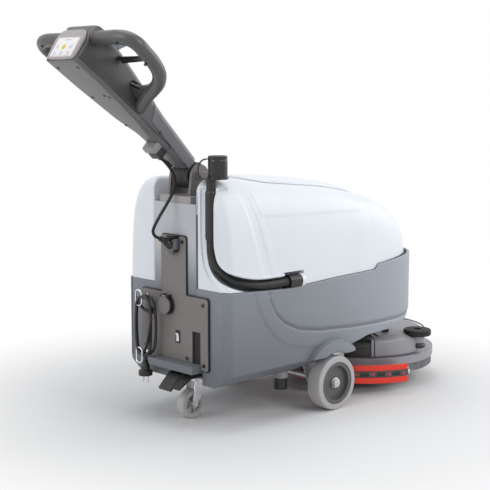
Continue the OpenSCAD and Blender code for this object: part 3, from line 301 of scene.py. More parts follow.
class Graph:
    """Node graph of one new material or world, its owner."""

    def __init__(self, name, kind="materials"):
        self.owner = getattr(bpy.data, kind).new(name)
        self.owner.use_nodes = True
        self.tree = self.owner.node_tree
        self.shader = self.tree.nodes.get("Principled BSDF")
        self.coords = self.node("ShaderNodeTexCoord").outputs["Object"]

    def node(self, kind, settings=None, inputs=None):
        """A node of any kind: its settings first, then the values or links of its sockets."""
        n = self.tree.nodes.new(kind)
        for key, value in (settings or {}).items():
            setattr(n, key, value)
        for key, value in (inputs or {}).items():
            self.feed(n.inputs[key], value)
        return n

    def feed(self, socket, value):
        """Links a socket to another one, or else gives it a plain value."""
        value = getattr(value, "socket", value)
        if isinstance(value, bpy.types.NodeSocket):
            self.tree.links.new(value, socket)
        else:
            socket.default_value = (*value, 1) if socket.type == "RGBA" else value

    def number(self, kind, settings=None, inputs=None, output=0):
        """A new node's output as a number."""
        return Number(self, self.node(kind, settings, inputs).outputs[output])

    def mapped(self, scale, turn=(0.0, 0.0, 0.0)):
        """Object coordinates, turned and then scaled."""
        inputs = {"Vector": self.coords, "Rotation": turn, "Scale": scale}
        return self.node("ShaderNodeMapping", {}, inputs).outputs[0]

    def noise(self, scale, detail=2.0, rough=0.5, vector=None):
        """Soft random numbers between 0 and 1."""
        return self.number("ShaderNodeTexNoise", {}, {
            "Vector": vector or self.coords, "Scale": scale, "Detail": detail, "Roughness": rough})

    def axis(self, index):
        """One object coordinate: 0 forwards, 1 sideways, 2 upwards."""
        return Number(self, self.node("ShaderNodeSeparateXYZ", {}, {0: self.coords}).outputs[index])

    def between(self, value, low, high):
        """0 below low, 1 above high, eased between."""
        return self.number("ShaderNodeMapRange", {"interpolation_type": "SMOOTHSTEP"},
                           {"Value": value, "From Min": low, "From Max": high})

    def most(self, a, b):
        """The larger of two numbers."""
        return self.number("ShaderNodeMath", {"operation": "MAXIMUM"}, {0: a, 1: b})

    def blend(self, factor, a, b):
        """Two colours, mixed: a at 0 and b at 1."""
        return self.node("ShaderNodeMix", {"data_type": "RGBA"}, {0: factor, 6: a, 7: b}).outputs[2]

    def mixed(self, factor, a, b):
        """Two shaders, mixed."""
        return self.node("ShaderNodeMixShader", {}, {0: factor, 1: a.outputs[0], 2: b.outputs[0]}).outputs[0]

    def seen(self):
        """1 for rays from the camera, a mirror or clear glass, which meet plain white."""
        rays = self.node("ShaderNodeLightPath").outputs
        return self.most(self.most(rays["Is Camera Ray"], rays["Is Glossy Ray"]), rays["Is Transmission Ray"])

    def bump(self, height, strength, distance, edge=0.0):
        """Normal from a height, over edges that are softened by a radius."""
        inputs = {"Height": height, "Strength": strength, "Distance": distance}
        if edge:
            inputs["Normal"] = self.node("ShaderNodeBevel", {"samples": 4}, {"Radius": edge}).outputs[0]
        return self.node("ShaderNodeBump", {}, inputs).outputs[0]

    def set(self, **values):
        """Feeds the surface's sockets by name, with _ for a space."""
        for key, value in values.items():
            self.feed(self.shader.inputs[key.replace("_", " ")], value)
        return self

    @property
    def tint(self):
        """What the base colour is fed with now."""
        return self.shader.inputs["Base Color"].links[0].from_socket


def moulded(name, c, rough, grain=0.25, grain_size=900.0, mottle=0.05, dust=0.0, edge=0.0, metal=0.0):
    """Moulded or painted surface: a spark-eroded grain in the bump, slow mottling and fine dust."""
    g = Graph(name)
    slow = g.noise(7.0, 3.0)
    fine = g.noise(grain_size, 2.0, 0.6)
    tint = g.blend(g.between(slow, 0.3, 0.7), c * (1 - mottle), np.minimum(c * (1 + mottle), 1))
    tint = g.blend(g.between(fine, 0.35, 0.75) * 0.35, tint, c * (1 - 1.6 * mottle - 0.04))
    if dust:
        tint = g.blend(g.between(g.noise(160.0, 4.0, 0.7), 0.62, 0.8) * dust, tint, c * 0.5 + 0.22)
    return g.set(Base_Color=tint, Roughness=g.between(slow, 0.2, 0.8) * 0.08 + (rough - 0.04) + fine * 0.05,
                 Metallic=metal, Normal=g.bump(fine, grain, 0.00012, edge))


def lit_and_shaded(name, c):
    """Grey polyethylene whose tone carries painted light: a painted highlight that lightens it towards the nose
    and painted shade that darkens it low at the rear.
    """
    g = moulded(name, c, 0.46, 0.35, 800.0, 0.04, 0.05, 0.0015)
    highlight_ahead = g.between(g.axis(0), -0.25, 0.5)
    low = g.between(g.axis(2), 0.10, 0.36)
    # painted highlight: the tone lightens towards the nose
    tint = g.blend(highlight_ahead * 0.7, g.tint, np.minimum(c * 1.9, 1))
    # painted shade: the tone darkens low down at the rear
    return g.set(Base_Color=g.blend((1 - low) * (1 - highlight_ahead) * 0.7, tint, c * 0.45))


def faded(name, c):
    """Light face of the column that passes into the tone of the tank below it."""
    g = moulded(name, c, 0.45, 0.3, 800.0, 0.03, 0.03)
    below = np.array(bpy.context.scene.scrubber_tones.tank_grey) * 0.9
    return g.set(Base_Color=g.blend(g.between(g.axis(2), 0.35, 0.5), below, g.tint))


def brushed(name, c, rough, scale=(900.0, 30.0, 30.0), edge=0.0006):
    """Bright metal with drawn lines along one axis and a faint stain."""
    g = Graph(name)
    lines = g.noise(1.0, 3.0, 0.6, g.mapped(scale))
    stain = g.noise(25.0, 4.0)
    return g.set(Base_Color=g.blend(g.between(stain, 0.45, 0.75), c, c * 0.78), Metallic=1.0,
                 Roughness=g.between(stain, 0.3, 0.8) * 0.12 + rough + lines * 0.1,
                 Normal=g.bump(lines, 0.25, 0.0001, edge))


def rubber(name, c, rough, grain, scuff):
    """Rubber: fine matt grain with pale scuffs."""
    g = Graph(name)
    scuffs = g.between(g.noise(60.0, 5.0, 0.7, g.mapped((1.0, 1.0, 3.0))), 0.58, 0.78) * scuff
    return g.set(Base_Color=g.blend(scuffs, c, c * 0.7 + 0.12), Roughness=scuffs * 0.2 + rough,
                 Normal=g.bump(g.noise(1400.0, 2.0), grain, 0.0001))


def diamond_grip(name, c):
    """Knurled boot: two crossed sets of ridges make small diamonds; the ridge tops carry a painted highlight
    and the hollows painted shade.
    """
    g = Graph(name)
    one, two = (g.number("ShaderNodeTexWave", {"bands_direction": "X"}, {
        "Vector": g.mapped((42.0, 42.0, 42.0), (0.0, 0.6 * side, 0.7 * side)), "Scale": 1.0, "Distortion": 0.0},
        output=1) for side in (1, -1))
    height = g.most(one, two)
    # painted highlight on the ridge tops and painted shade in the hollows
    return g.set(Base_Color=g.blend(g.between(height, 0.75, 1.0), c * 0.5, c * 1.6), Roughness=0.55,
                 Normal=g.bump(height, 0.8, 0.0012))


def bristles(name, c):
    """Dense short bristles: fine upright streaks with painted shade in the gaps between the bristles and
    between the tufts.
    """
    g = Graph(name)
    streak = g.noise(1.0, 3.0, 0.7, g.mapped((900.0, 900.0, 40.0)))
    tufts = g.number("ShaderNodeTexVoronoi", {"feature": "F1"},
                     {"Vector": g.mapped((1.0, 1.0, 0.15)), "Scale": 260.0})
    # painted shade: the dark streaks stand for the gaps between the bristles
    tint = g.blend(g.between(streak, 0.35, 0.65), c * 0.35, c * 1.25)
    # painted shade: darker at the edges of the tufts, where they part
    tint = g.blend(g.between(tufts, 0.35, 0.7) * 0.6, tint, c * 0.3)
    return g.set(Base_Color=tint, Roughness=0.75, Normal=g.bump(streak + tufts * 0.6, 0.7, 0.0015))


# finish: its maker, its tone, how much of the tone, and the maker's other numbers in order
FINISHES = {
    "white_tank": (moulded, "tank_white", 1, 0.38, 0.18, 700.0, 0.015),
    "grey_tank": (lit_and_shaded, "tank_grey", 1),
    # painted shade: a darker copy of the lower tank's tone for the groove's floor
    "groove_shade_grey": (lit_and_shaded, "tank_grey", 0.62),
    # painted shadow: a dark copy of the lower tank's tone for the gap at the joint
    "joint_shadow_grey": (moulded, "tank_grey", 0.3, 0.6),
    "column_grey": (faded, "column", 1),
    "warm_grey_panel": (moulded, "panel_grey", 1, 0.5, 0.45, 900.0, 0.04, 0.05, 0.001),
    "pivot_grey": (moulded, "pivot_grey", 1, 0.45, 0.4, 900.0, 0.05, 0.05, 0.001),
    "black_plastic": (moulded, "black", 1, 0.36, 0.35, 1000.0, 0.1, 0.06, 0.0008),
    "black_gloss": (moulded, "black", 1, 0.22, 0.12, 1200.0, 0.1, 0.03),
    "battery": (moulded, "black", 1, 0.5, 0.4, 800.0, 0.1, 0.1, 0.001),
    "dark_grey_plastic": (moulded, "handle_grey", 1, 0.3, 0.2, 1000.0, 0.05, 0.05, 0.001),
    # painted shade: a darkened copy of the handle grey for the deck's openings
    "well_shade_black": (moulded, "handle_grey", 0.45, 0.5, 0.4, 800.0, 0.1, 0.06, 0.001),
    "painted_steel": (moulded, "handle_grey", 0.5, 0.4, 0.3, 700.0, 0.08, 0.1, 0.001, 0.3),
    "mid_grey_plastic": (moulded, "cover_grey", 1, 0.32, 0.25, 1000.0, 0.05, 0.05, 0.001),
    "light_grey_plastic": (moulded, "light_grey", 1, 0.4, 0.3, 1000.0, 0.04, 0.04, 0.001),
    "rear_cover_grey": (moulded, "rear_cover", 1, 0.3, 0.2, 1000.0, 0.04, 0.04, 0.001),
    "paddle_blue_grey": (moulded, "paddle_grey", 1, 0.35, 0.2, 1000.0, 0.03, 0.03, 0.0008),
    "console_grey": (moulded, "console", 1, 0.4, 0.3, 1000.0, 0.04, 0.04, 0.001),
    "key_panel": (moulded, "key_white", 1, 0.3, 0.1, 1200.0, 0.02),
    "key_yellow": (moulded, "key_yellow", 1, 0.3, 0.1, 1200.0, 0.04),
    "key_grey": (moulded, "cover_grey", 1, 0.35, 0.1, 1200.0, 0.04),
    "key_outline": (moulded, "outline_red", 1, 0.35, 0.1, 1200.0, 0.04),
    "switch_white": (moulded, "key_white", 1, 0.25, 0.1, 1200.0, 0.02, 0.0, 0.0006),
    "hub_plastic": (moulded, "hub_grey", 1, 0.45, 0.4, 900.0, 0.06, 0.12, 0.0012),
    "caster_plastic": (moulded, "caster_grey", 1, 0.4, 0.3, 900.0, 0.04, 0.1, 0.0008),
    "cast_metal": (moulded, "deck_grey", 1, 0.42, 0.8, 420.0, 0.07, 0.12, 0.0015, 0.35),
    "deck_bracket": (moulded, "bracket_grey", 1, 0.4, 0.5, 800.0, 0.05, 0.08, 0.0012),
    "black_rubber": (rubber, "black", 0.6, 0.7, 0.5, 0.08),
    "hose_black": (rubber, "black", 0.6, 0.42, 0.3, 0.03),
    "cord_black": (rubber, "black", 1, 0.3, 0.2, 0.1),
    "grey_tyre": (rubber, "tyre_grey", 1, 0.62, 0.4, 0.3),
    "red_rubber": (rubber, "blade_red", 1, 0.42, 0.25, 0.08),
    "zinc_steel": (brushed, "zinc", 1, 0.3),
    "chassis": (brushed, "zinc", 1, 0.4, (300.0, 20.0, 300.0)),
    "chrome_wire": (brushed, "chrome", 1, 0.12, (60.0, 60.0, 60.0), 0.0),
    "brass": (brushed, "brass", 1, 0.25, (200.0, 200.0, 200.0), 0.0),
    "skirt": (bristles, "skirt_grey", 1),
    "brush": (bristles, "brush_blue", 1),
    "boot": (diamond_grip, "black", 1),
}
MADE = {}


def finish_of(name):
    """Material of a finish, made the first time that it is asked for."""
    if name not in MADE:
        maker, colour, share, *numbers = FINISHES[name]
        c = np.array(getattr(bpy.context.scene.scrubber_tones, colour)) * share
        MADE[name] = maker(name, c, *numbers).owner
    return MADE[name]


# ---------------------------------------------------------------- settings

def millimetres(name, description, default, low, high):
    """Length setting in millimetres."""
    return FloatProperty(name=name, description=f"{description}, in millimetres", default=default, min=low,
                         max=high)


class ScrubberSizes(bpy.types.PropertyGroup):
    """Sizes of the dressed pieces."""
    hose_rib: millimetres("Hose rib pitch", "Distance between the ribs of the drain hose", 5.2, 3, 9)
    hose_d: millimetres("Hose diameter", "Outer diameter of the drain hose", 26.0, 20, 30)
    cord_d: millimetres("Cord diameter", "Diameter of the charger cord", 8.0, 6, 9)
    cable_d: millimetres("Cable diameter", "Diameter of the control cable", 8.0, 6, 10)
    grip_d: millimetres("Grip diameter", "Diameter of the handle loops", 34.0, 28, 38)
    wire_d: millimetres("Hook wire", "Wire diameter of the cord hooks", 4.0, 3, 5)
    cap_ribs: IntProperty(name="Cap ribs", description="Ribs round the drain cap", default=18, min=8, max=36)
    hank_turns: IntProperty(name="Hank turns", description="Turns of the folded charger cord", default=3, min=2,
                            max=3)


def tone(name, code):
    """Colour setting whose default is a two-digit-per-channel code, made linear."""
    v = np.array([int(code[i:i + 2], 16) for i in (0, 2, 4)]) / 255.0
    v = tuple(np.where(v <= 0.04045, v / 12.92, ((v + 0.055) / 1.055) ** 2.4))
    return FloatVectorProperty(name=name, description=f"Colour of the {name.lower()}", subtype="COLOR", size=3,
                               min=0, max=1, default=v)


class ScrubberTones(bpy.types.PropertyGroup):
    """Colours of the finishes."""
    tank_white: tone("Recovery tank", "e9edf3")
    tank_grey: tone("Lower tank", "83878e")
    panel_grey: tone("Rear panel", "7d7776")
    black: tone("Black parts", "1f1f1f")
    handle_grey: tone("Handle body", "555354")
    cover_grey: tone("Column cover", "66646a")
    light_grey: tone("Light grey parts", "918f91")
    rear_cover: tone("Rear cover", "676567")
    paddle_grey: tone("Trigger paddles", "b4bcc6")
    key_white: tone("Key panel", "f0f0f0")
    key_yellow: tone("Start key", "e8c53a")
    outline_red: tone("Panel outline", "c98c8e")
    tyre_grey: tone("Tyres", "b6b3b5")
    hub_grey: tone("Hubs", "5f5d5e")
    caster_grey: tone("Caster wheel", "c2bfbf")
    zinc: tone("Zinc plate", "d6d5d7")
    chrome: tone("Chrome wire", "e6e6ea")
    deck_grey: tone("Brush deck", "9b999f")
    blade_red: tone("Squeegee blades", "f23b2a")
    skirt_grey: tone("Splash skirt", "8a888b")
    brush_blue: tone("Disc brush", "3a4250")
    column: tone("Column face", "bfc1c6")
    bracket_grey: tone("Deck plates", "9d9ba0")
    console: tone("Console plate", "a8a1a4")
    brass: tone("Brass screws", "c9b878")
    pivot_grey: tone("Pivot plate", "a8a4a2")


def sizes():
    """The scene's size settings."""
    return bpy.context.scene.scrubber_sizes


class Maker(bpy.types.Operator):
    """Shared base of the operators that make pieces."""
    bl_options = {"REGISTER", "UNDO"}


# ---------------------------------------------------------------- camera, lamps and floor

CAMERA_AT = (-1.94 - MIDDLE / 1000, -2.272, 0.881)
CAMERA_DOWN, CAMERA_TURN, CAMERA_LENS, FILM_WIDTH = math.radians(7.77), math.radians(46 - 90), 84.5, 36
LAMPS_AIM = (0.05, 0, 0.35)
LAMPS = (("key", (0.4, -3.0, 2.3), 2.2, 38), ("front", (2.8, -1.2, 1.5), 2.0, 26),
         ("overhead", (-0.2, 0.2, 3.2), 2.6, 31), ("rear", (-2.8, 0.6, 1.8), 2.4, 30))
FLOOR = 14.0


class SCRUBBER_OT_stage(Maker):
    """Camera, soft lamps, pale floor and a white surround"""
    bl_idname = "scrubber.stage"
    bl_label = "Stage"

    def execute(self, context):
        scene = context.scene
        scene.view_settings.view_transform = "Standard"
        camera = bpy.data.objects.new("camera", bpy.data.cameras.new("camera"))
        camera.data.lens = CAMERA_LENS
        camera.data.sensor_width = FILM_WIDTH
        camera.location = CAMERA_AT
        camera.rotation_euler = Euler((math.radians(90) - CAMERA_DOWN, 0, CAMERA_TURN))
        scene.collection.objects.link(camera)
        scene.camera = camera
        for name, where, size, power in LAMPS:
            lamp = bpy.data.lights.new(name, "AREA")
            lamp.shape, lamp.size, lamp.energy = "DISK", size, power
            ob = bpy.data.objects.new(name, lamp)
            ob.location = where
            ob.rotation_euler = (Vector(LAMPS_AIM) - Vector(where)).to_track_quat("-Z", "Y").to_euler()
            scene.collection.objects.link(ob)
        scene.world = self.surround()
        floor = bpy.data.meshes.new("floor")
        corners = [(FLOOR * x, FLOOR * y, 0) for x, y in ((-1, -1), (1, -1), (1, 1), (-1, 1))]
        floor.from_pydata(corners, [], [(0, 1, 2, 3)])
        ob = bpy.data.objects.new("floor", floor)
        floor.materials.append(self.floor_finish())
        scene.collection.objects.link(ob)
        return {"FINISHED"}

    @staticmethod
    def surround():
        """Dim cool light on the object, and plain white behind it."""
        g = Graph("surround", "worlds")
        g.tree.nodes.clear()
        lit = g.node("ShaderNodeBackground", {}, {"Strength": 0.36, "Color": (0.93, 0.96, 1)})
        white = g.node("ShaderNodeBackground", {}, {"Color": (1, 1, 1)})
        g.node("ShaderNodeOutputWorld", {}, {0: g.mixed(g.seen(), lit, white)})
        return g.owner

    @staticmethod
    def floor_finish():
        """Pale paint that passes into plain white away from the machine, so that the shadow stays soft."""
        g = Graph("floor")
        g.set(Base_Color=(0.82, 0.82, 0.82), Roughness=0.9, Specular_IOR_Level=0.0)
        far = g.number("ShaderNodeVectorMath", {"operation": "LENGTH"}, {0: g.coords}, output=1)
        white = g.mixed(g.seen() * g.between(far, 0.42, 1.2), g.shader, g.node("ShaderNodeEmission"))
        g.feed(g.tree.nodes["Material Output"].inputs[0], white)
        return g.owner


# ---------------------------------------------------------------- charger cord and control cable

LEAD_X, LEAD_Y = -30.0, 92.0
HANK_LOW, HANK_HIGH = 168.0, 336.0
TURN_R, TURN_RUN, BELLY = 29, 104, 3.5
PLUG_TOP, PLUG_LENGTH = 156.0, 42
CABLE = [(-50.6, 0, 708.8), (-44, 0, 702.3), (-29, 0, 690), (-12, 0, 672), (-1, 0, 652), (0, 0, 632),
         (-8, 0, 610), (-27, 0, 584), (-52, 0, 553), (-67, 2, 530), (-70, 5, 516), (-62, 8, 503),
         (-46.3, 6.06, 495.15)]


class SCRUBBER_OT_leads(Maker):
    """Folded charger cord with its plug, and the control cable between the handle and the panel"""
    bl_idname = "scrubber.leads"
    bl_label = "Leads"

    def execute(self, context):
        s = sizes()
        self.plug()
        self.cord(s)
        cable = tube(even(spline(CABLE, 8), 3), s.cable_d / 2, 20, (0, 1, 0))
        piece = build("control_cable_sleeve", [cable], "black_rubber", None, ("control_cable",))
        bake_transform(piece)
        return {"FINISHED"}

    def cord(self, s):
        """Racetrack turns stacked through the hank, entered from the gland and left towards the plug."""
        start = [(-17, LEAD_Y, 288), (-20, 96, 289), (-23.5, 107, 294)]
        turns = self.turns(s.hank_turns)
        turns = turns[np.argmax(turns[:, 2] > 300):]
        x, y, _ = turns[-1]
        end = [(x + 3, (y + LEAD_Y) / 2, HANK_LOW + 34), (LEAD_X - 3, LEAD_Y, HANK_LOW + 12),
               (LEAD_X, LEAD_Y, HANK_LOW - 3), (LEAD_X, LEAD_Y, PLUG_TOP)]
        path = even(spline(np.concatenate([start, turns, end]), 3), 5)
        piece = build("charger_cord", [tube(path, s.cord_d / 2, 12, (1, 0.13, 0.07))], "cord_black", "machine",
                      ("lead_hank", "lead_tail"))

    @staticmethod
    def turns(count):
        """Each turn goes up, over a half circle, down and back under; it eases to the next turn's place."""
        t = np.linspace(0, count - 0.42, 60 * count)
        f = t % 1.0
        turn = np.floor(t).astype(int)
        ease = smooth((f - 0.72) / 0.28)
        radius, middle, back = (k[turn] * (1 - ease) + k[np.minimum(turn + 1, count - 1)] * ease for k in (
            np.array([31.0, 26.5, 29.0]), np.array([86.0, 91.0, 79.0]), np.array([-25.5, -35.5, -46.0])))
        low, high = HANK_LOW + radius + 4, HANK_HIGH - radius - 4
        share = math.pi * TURN_R / (2 * math.pi * TURN_R + 2 * TURN_RUN)
        run = 0.5 - share
        leg = [f < run, f < 0.5, f < 0.5 + run]
        over, under = (f - run) / share * math.pi, (f - 0.5 - run) / share * math.pi
        belly = BELLY * np.sin(np.clip(np.select(leg[::2], [f / run, (f - 0.5) / run], 0), 0, 1) * math.pi)
        y = middle + np.select(leg, [radius + belly, radius * np.cos(over), -radius - belly],
                               -radius * np.cos(under))
        z = np.select(leg, [low + (high - low) * f / run, high + radius * np.sin(over),
                            high - (high - low) * (f - 0.5) / run], low - radius * np.sin(under))
        return np.stack([back, y, z], 1)

    @staticmethod
    def plug():
        """Ribbed grip that narrows towards the cord, and its two round pins."""
        base = PLUG_TOP - PLUG_LENGTH
        ribs = lambda r, h, a: np.where((h > 2) & (h < 12), 0.35 * np.cos(a * 26), 0) * (r > 18)
        shell = [(0, 0), (19, 0, 2), (19, 14, 2), (12.5, 15, 1.5), (12, 26, 2), (8, 34, 2),
            (6.2, PLUG_LENGTH, 1), (0, PLUG_LENGTH)]
        build("charger_plug", [lathe(shell, 2, 4, (LEAD_X, LEAD_Y, base), "z", 104, ribs)], "black_plastic",
              "machine", ("lead_plug",))
        pin = [(0, 0), (2.4, 0, 1.2), (2.4, -19, 1.6), (0, -19)]
        build("plug_pins", [lathe(pin, 1.2, 4, (LEAD_X, LEAD_Y + k, base), "z", 24) for k in (-9.5, 9.5)],
              "zinc_steel", "machine")


# ---------------------------------------------------------------- tanks

SPLIT = np.array([(0, 369), (205, 358), (274, 359), (404, 365), (578, 369), (592, 383), (818, 400), (888, 403)],
                 float)
LOWER_L, LOWER_W, UPPER_L, UPPER_W, NOSE_L, NOSE_N = 828.0, 400.0, 806.0, 398.0, 470.0, 4.3
CROWN, CROWN_FALL, NOSE_FALL, NOSE_ROUND, SECTION_N, SIDE_LEAN = 652.0, 42.0, 6.6, 1.6, 4.8, 0.07
REAR_ROUND = 26
LID_X0, LID_L, LID_W, LID_RISE, LID_N = 155.0, 470.0, 240.0, 12.0, 3.0
NOTCH_X, NOTCH_Y, STEM_X, STEM_Y, NOTCH_FLOOR, NOTCH_LIP = 119, 84, 130, 64, 560, 13
MOUTH_X, MOUTH_R, MOUTH_DEEP = 371.2, 85.0, 95
GROOVE_R = 17.0
POCKET_Y = -168
HOSE = [(10, -130, 655), (10, -130, 560), (10, -130, 500), (11, -131, 470), (16, -137, 438), (30, -150, 410),
        (58, -168, 388), (100, -184, 377), (150, -190, 373), (223.7, -190, 373)]
HOSE_OUT = [(-1, 0, 0), (-1, 0, 0), (-1, 0, 0), (-1, -0.2, 0), (-1, -0.5, 0), (-1, -1, 0), (-0.4, -1, 0),
            (0, -1, 0), (0, -1, 0), (0, -1, 0)]


def split_at(x):
    """Height of the joint between the two tanks."""
    return np.interp(x, SPLIT[:, 0], SPLIT[:, 1])


def half_width(x, length, width):
    """Half width of a tank in plan: straight sides, then a superelliptic nose."""
    t = np.clip((x - (length - NOSE_L)) / NOSE_L, 0, 1)
    return width / 2 * (1 - t ** NOSE_N) ** (1 / NOSE_N)


def crown_at(x):
    """Crown line: falls with the square of the distance, with a flat dip for the lid."""
    dip = smooth((x - LID_X0 + 50) / 130) * (1 - smooth((x - LID_X0 - LID_L + 60) / 120))
    return CROWN - CROWN_FALL * (x / 600) ** 2 - LID_RISE * dip


def rise_at(x):
    """Height of the dome above the joint line: a superellipse that closes at the nose."""
    return (crown_at(x) - split_at(x)) * (1 - np.clip(x / UPPER_L, 0, 1) ** NOSE_FALL) ** (1 / NOSE_ROUND)


def dome_height(x, y):
    """Height of the dome at a point in plan."""
    w = half_width(x, UPPER_L, UPPER_W) * (1 - SIDE_LEAN)
    return split_at(x) + rise_at(x) * np.maximum(0, 1 - (np.abs(y) / w) ** SECTION_N) ** (1 / SECTION_N)


def hose_frame(line, out):
    """Forward, outward and sideways unit vectors along the hose's line."""
    t = unit(np.gradient(line, axis=0))
    out = unit(out - t * np.sum(out * t, 1, keepdims=True))
    return t, out, np.cross(t, out)


class SCRUBBER_OT_upper_tank(Maker):
    """Recovery tank with the notch for the column and the channel for the hose, and its lid"""
    bl_idname = "scrubber.upper_tank"
    bl_label = "Recovery tank and lid"

    def execute(self, context):
        dome = self.dome()
        shells = [self.shaped(p) for p in (dome, *self.rear_faces(dome[0]))]
        build("recovery_tank_shell", [(g, False, False) for g in shells], "white_tank", "machine",
              ("recovery_tank",), sharp=50)
        self.channel_liner()
        self.lid()
        return {"FINISHED"}

    @staticmethod
    def dome():
        """Superelliptic sections along the tank, closer together where the notch and the mouth cut in."""
        a = np.linspace(0, math.pi / 2, 1500)
        s = np.sin(a) ** (2 / SECTION_N)
        cy, cz = np.cos(a) ** (2 / SECTION_N) * (1 - SIDE_LEAN * s), s
        arc = travelled(np.stack([cy * UPPER_W / 2, cz * (CROWN - 369)], 1))
        arc /= arc[-1]
        nose = UPPER_L - 206 + 205.9 * np.sin(np.linspace(0, math.pi / 2, 44)) ** 0.9
        x = np.concatenate([
            [0, 0.6, 1.6, 3, 5, 8, 12, 17, 22, REAR_ROUND], np.arange(29, 116, 3.2),
            [117, 118.2, 119, 119.8, 121, 124, 127, 129, 130, 131, 133, 137], np.arange(141, 300, 3.4),
            np.arange(300, 600, 6), nose])
        top = np.array([0, 12, 24, 34, 43, 50, 56, 60, 62.6, 64, 65.4, 67, 70, 75, 79, 81.5, 83.3, 84, 84.7, 86,
                        88.5, 92, 96, 100])
        edge = drawn_in(x, REAR_ROUND)[:, None]
        w = np.maximum(half_width(x, UPPER_L, UPPER_W)[:, None] - edge, 0.5)
        h = np.maximum(rise_at(x)[:, None] - edge, 0.5)
        across = top[None, ::-1] * np.minimum(100, 0.6 * w) / 100
        over = np.interp(-across / w, -cy, arc)
        up = np.linspace(0, 1, 78)[None, :-1] * over[:, :1]
        k = np.concatenate([up, over], 1)
        y = w * np.interp(k, arc, cy)
        z = split_at(x)[:, None] + 0.5 + (h - 0.5) * np.interp(k, arc, cz)
        y = np.concatenate([-y, y[:, -2::-1]], 1)
        z = np.concatenate([z, z[:, -2::-1]], 1)
        p = np.stack([np.repeat(x[:, None], y.shape[1], 1), y, z], -1)
        p[-1] = p[-1].mean(0)
        return p

    @staticmethod
    def rear_faces(ring):
        """Flat rear face of each lobe: its outline drawn across to the upright edge of the notch."""
        out = []
        t = np.linspace(0, 1, 56)[:, None, None]
        for side in (-1, 1):
            half = ring[ring[:, 1] * side >= NOTCH_Y - 0.1][::-side]
            run = travelled(half)
            line = np.stack([half[:, 0], np.full(len(half), side * float(NOTCH_Y)),
                             half[0, 2] + (half[-1, 2] - half[0, 2]) * run / run[-1]], 1)
            out.append(half[None] * (1 - t) + line[None] * t)
        return out

    def shaped(self, p):
        """Notch, mouth, hose channel, coupling pocket, pillar bands and creases pressed into the dome."""
        x, y, z = xyz(p)
        w = np.abs(y)
        near = np.minimum(np.hypot(np.maximum(x - NOTCH_X, 0), np.maximum(w - NOTCH_Y, 0)),
                          np.hypot(np.maximum(x - STEM_X, 0), np.maximum(w - STEM_Y, 0)))
        inside = ((x < NOTCH_X - 0.1) & (w < NOTCH_Y - 0.1)) | ((x < STEM_X - 0.1) & (w < STEM_Y - 0.1))
        upper = smooth((z - NOTCH_FLOOR) / 30)
        z = np.where(inside, np.minimum(z, NOTCH_FLOOR), z - upper * drawn_in(near, NOTCH_LIP))
        mouth = smooth((MOUTH_R + 2.5 - np.hypot(x - MOUTH_X, y)) / 3)
        z = z - MOUTH_DEEP * mouth * (z > 520)
        x = x + np.where((w < 97) & (x < 0.01) & ~inside, drawn_in(w - NOTCH_Y, 9), 0)
        # pillar bands that sweep down the side behind the lid, and the crease along it
        lean = x - (86 + (640 - z) * 0.28)
        bands = smooth((lean + 26) / 12) - smooth((lean - 4) / 8) + 0.6 * smooth((lean - 22) / 14)
        below = z - (548 - 0.03 * (x - 190) + 26 * smooth((x - 520) / 180))
        crease = smooth(below / 5) * smooth((lean - 20) / 8)
        sunk = 1.6 * bands * smooth((x - 38) / 24) - 1.7 * crease * (1 - smooth((x - 690) / 60))
        y = y - np.sign(y) * np.clip((w - 120) / 40, 0, 1) * sunk * (1 - smooth((x - 740) / 40))
        # pocket for the hose's coupling
        pocket = smooth((x - 195) / 3) * (1 - smooth((x - 281) / 3)) * (1 - smooth((z - 395) / 4))
        y = np.where(y < POCKET_Y, y + (POCKET_Y - y) * pocket, y)
        return self.channel(np.stack([x, y, z], -1))

    @staticmethod
    def channel(p):
        """Points within the hose's channel move inwards to a half-round floor of its radius."""
        line = spline(HOSE, 6)
        t, out, across = hose_frame(line, spline(HOSE_OUT, 6))
        flat = p.reshape(-1, 3).copy()
        mask = (flat[:, 1] < -90) & (flat[:, 0] < 262) & (flat[:, 2] < 680)
        q = flat[mask]
        near = np.argmin(np.stack([((q - c) ** 2).sum(-1) for c in line], 1), axis=1)
        v = q - line[near]
        lat, up, along = (np.sum(v * k[near], 1) for k in (across, out, t))
        beside = (lat > GROOVE_R) & (lat < GROOVE_R + 12.5) & (q[:, 0] < 200)
        lat = np.where((near == len(line) - 1) & (along > 0), 1e3, np.abs(lat))
        wide = GROOVE_R + 3.5
        floor = -np.sqrt(np.maximum(wide ** 2 - lat ** 2, 0)) - 2
        drop = np.where(lat < wide, np.maximum(up - floor, 0), np.where(beside, 11.0, 0))
        drop = drop * (1 - smooth((q[:, 2] - 622) / 9))
        flat[mask] = q - drop[:, None] * out[near]
        return flat.reshape(p.shape)

    @staticmethod
    def skin_height(base, out):
        """Distance along out from each base point to the dome's surface, by halving."""
        low, high = np.full(len(base), -30.0), np.full(len(base), 70.0)
        for _ in range(22):
            mid = (low + high) / 2
            x, y, z = (base + out * mid[:, None]).T
            edge = drawn_in(np.maximum(x, 0), REAR_ROUND)
            w = half_width(x, UPPER_L, UPPER_W) - edge
            s = np.clip((z - split_at(x)) / (rise_at(np.maximum(x, 0)) - edge), 0, 1)
            inside = (x > 0) & ((np.abs(y) / (w * (1 - SIDE_LEAN * s))) ** SECTION_N + s ** SECTION_N < 1)
            low, high = np.where(inside, mid, low), np.where(inside, high, mid)
        return (low + high) / 2

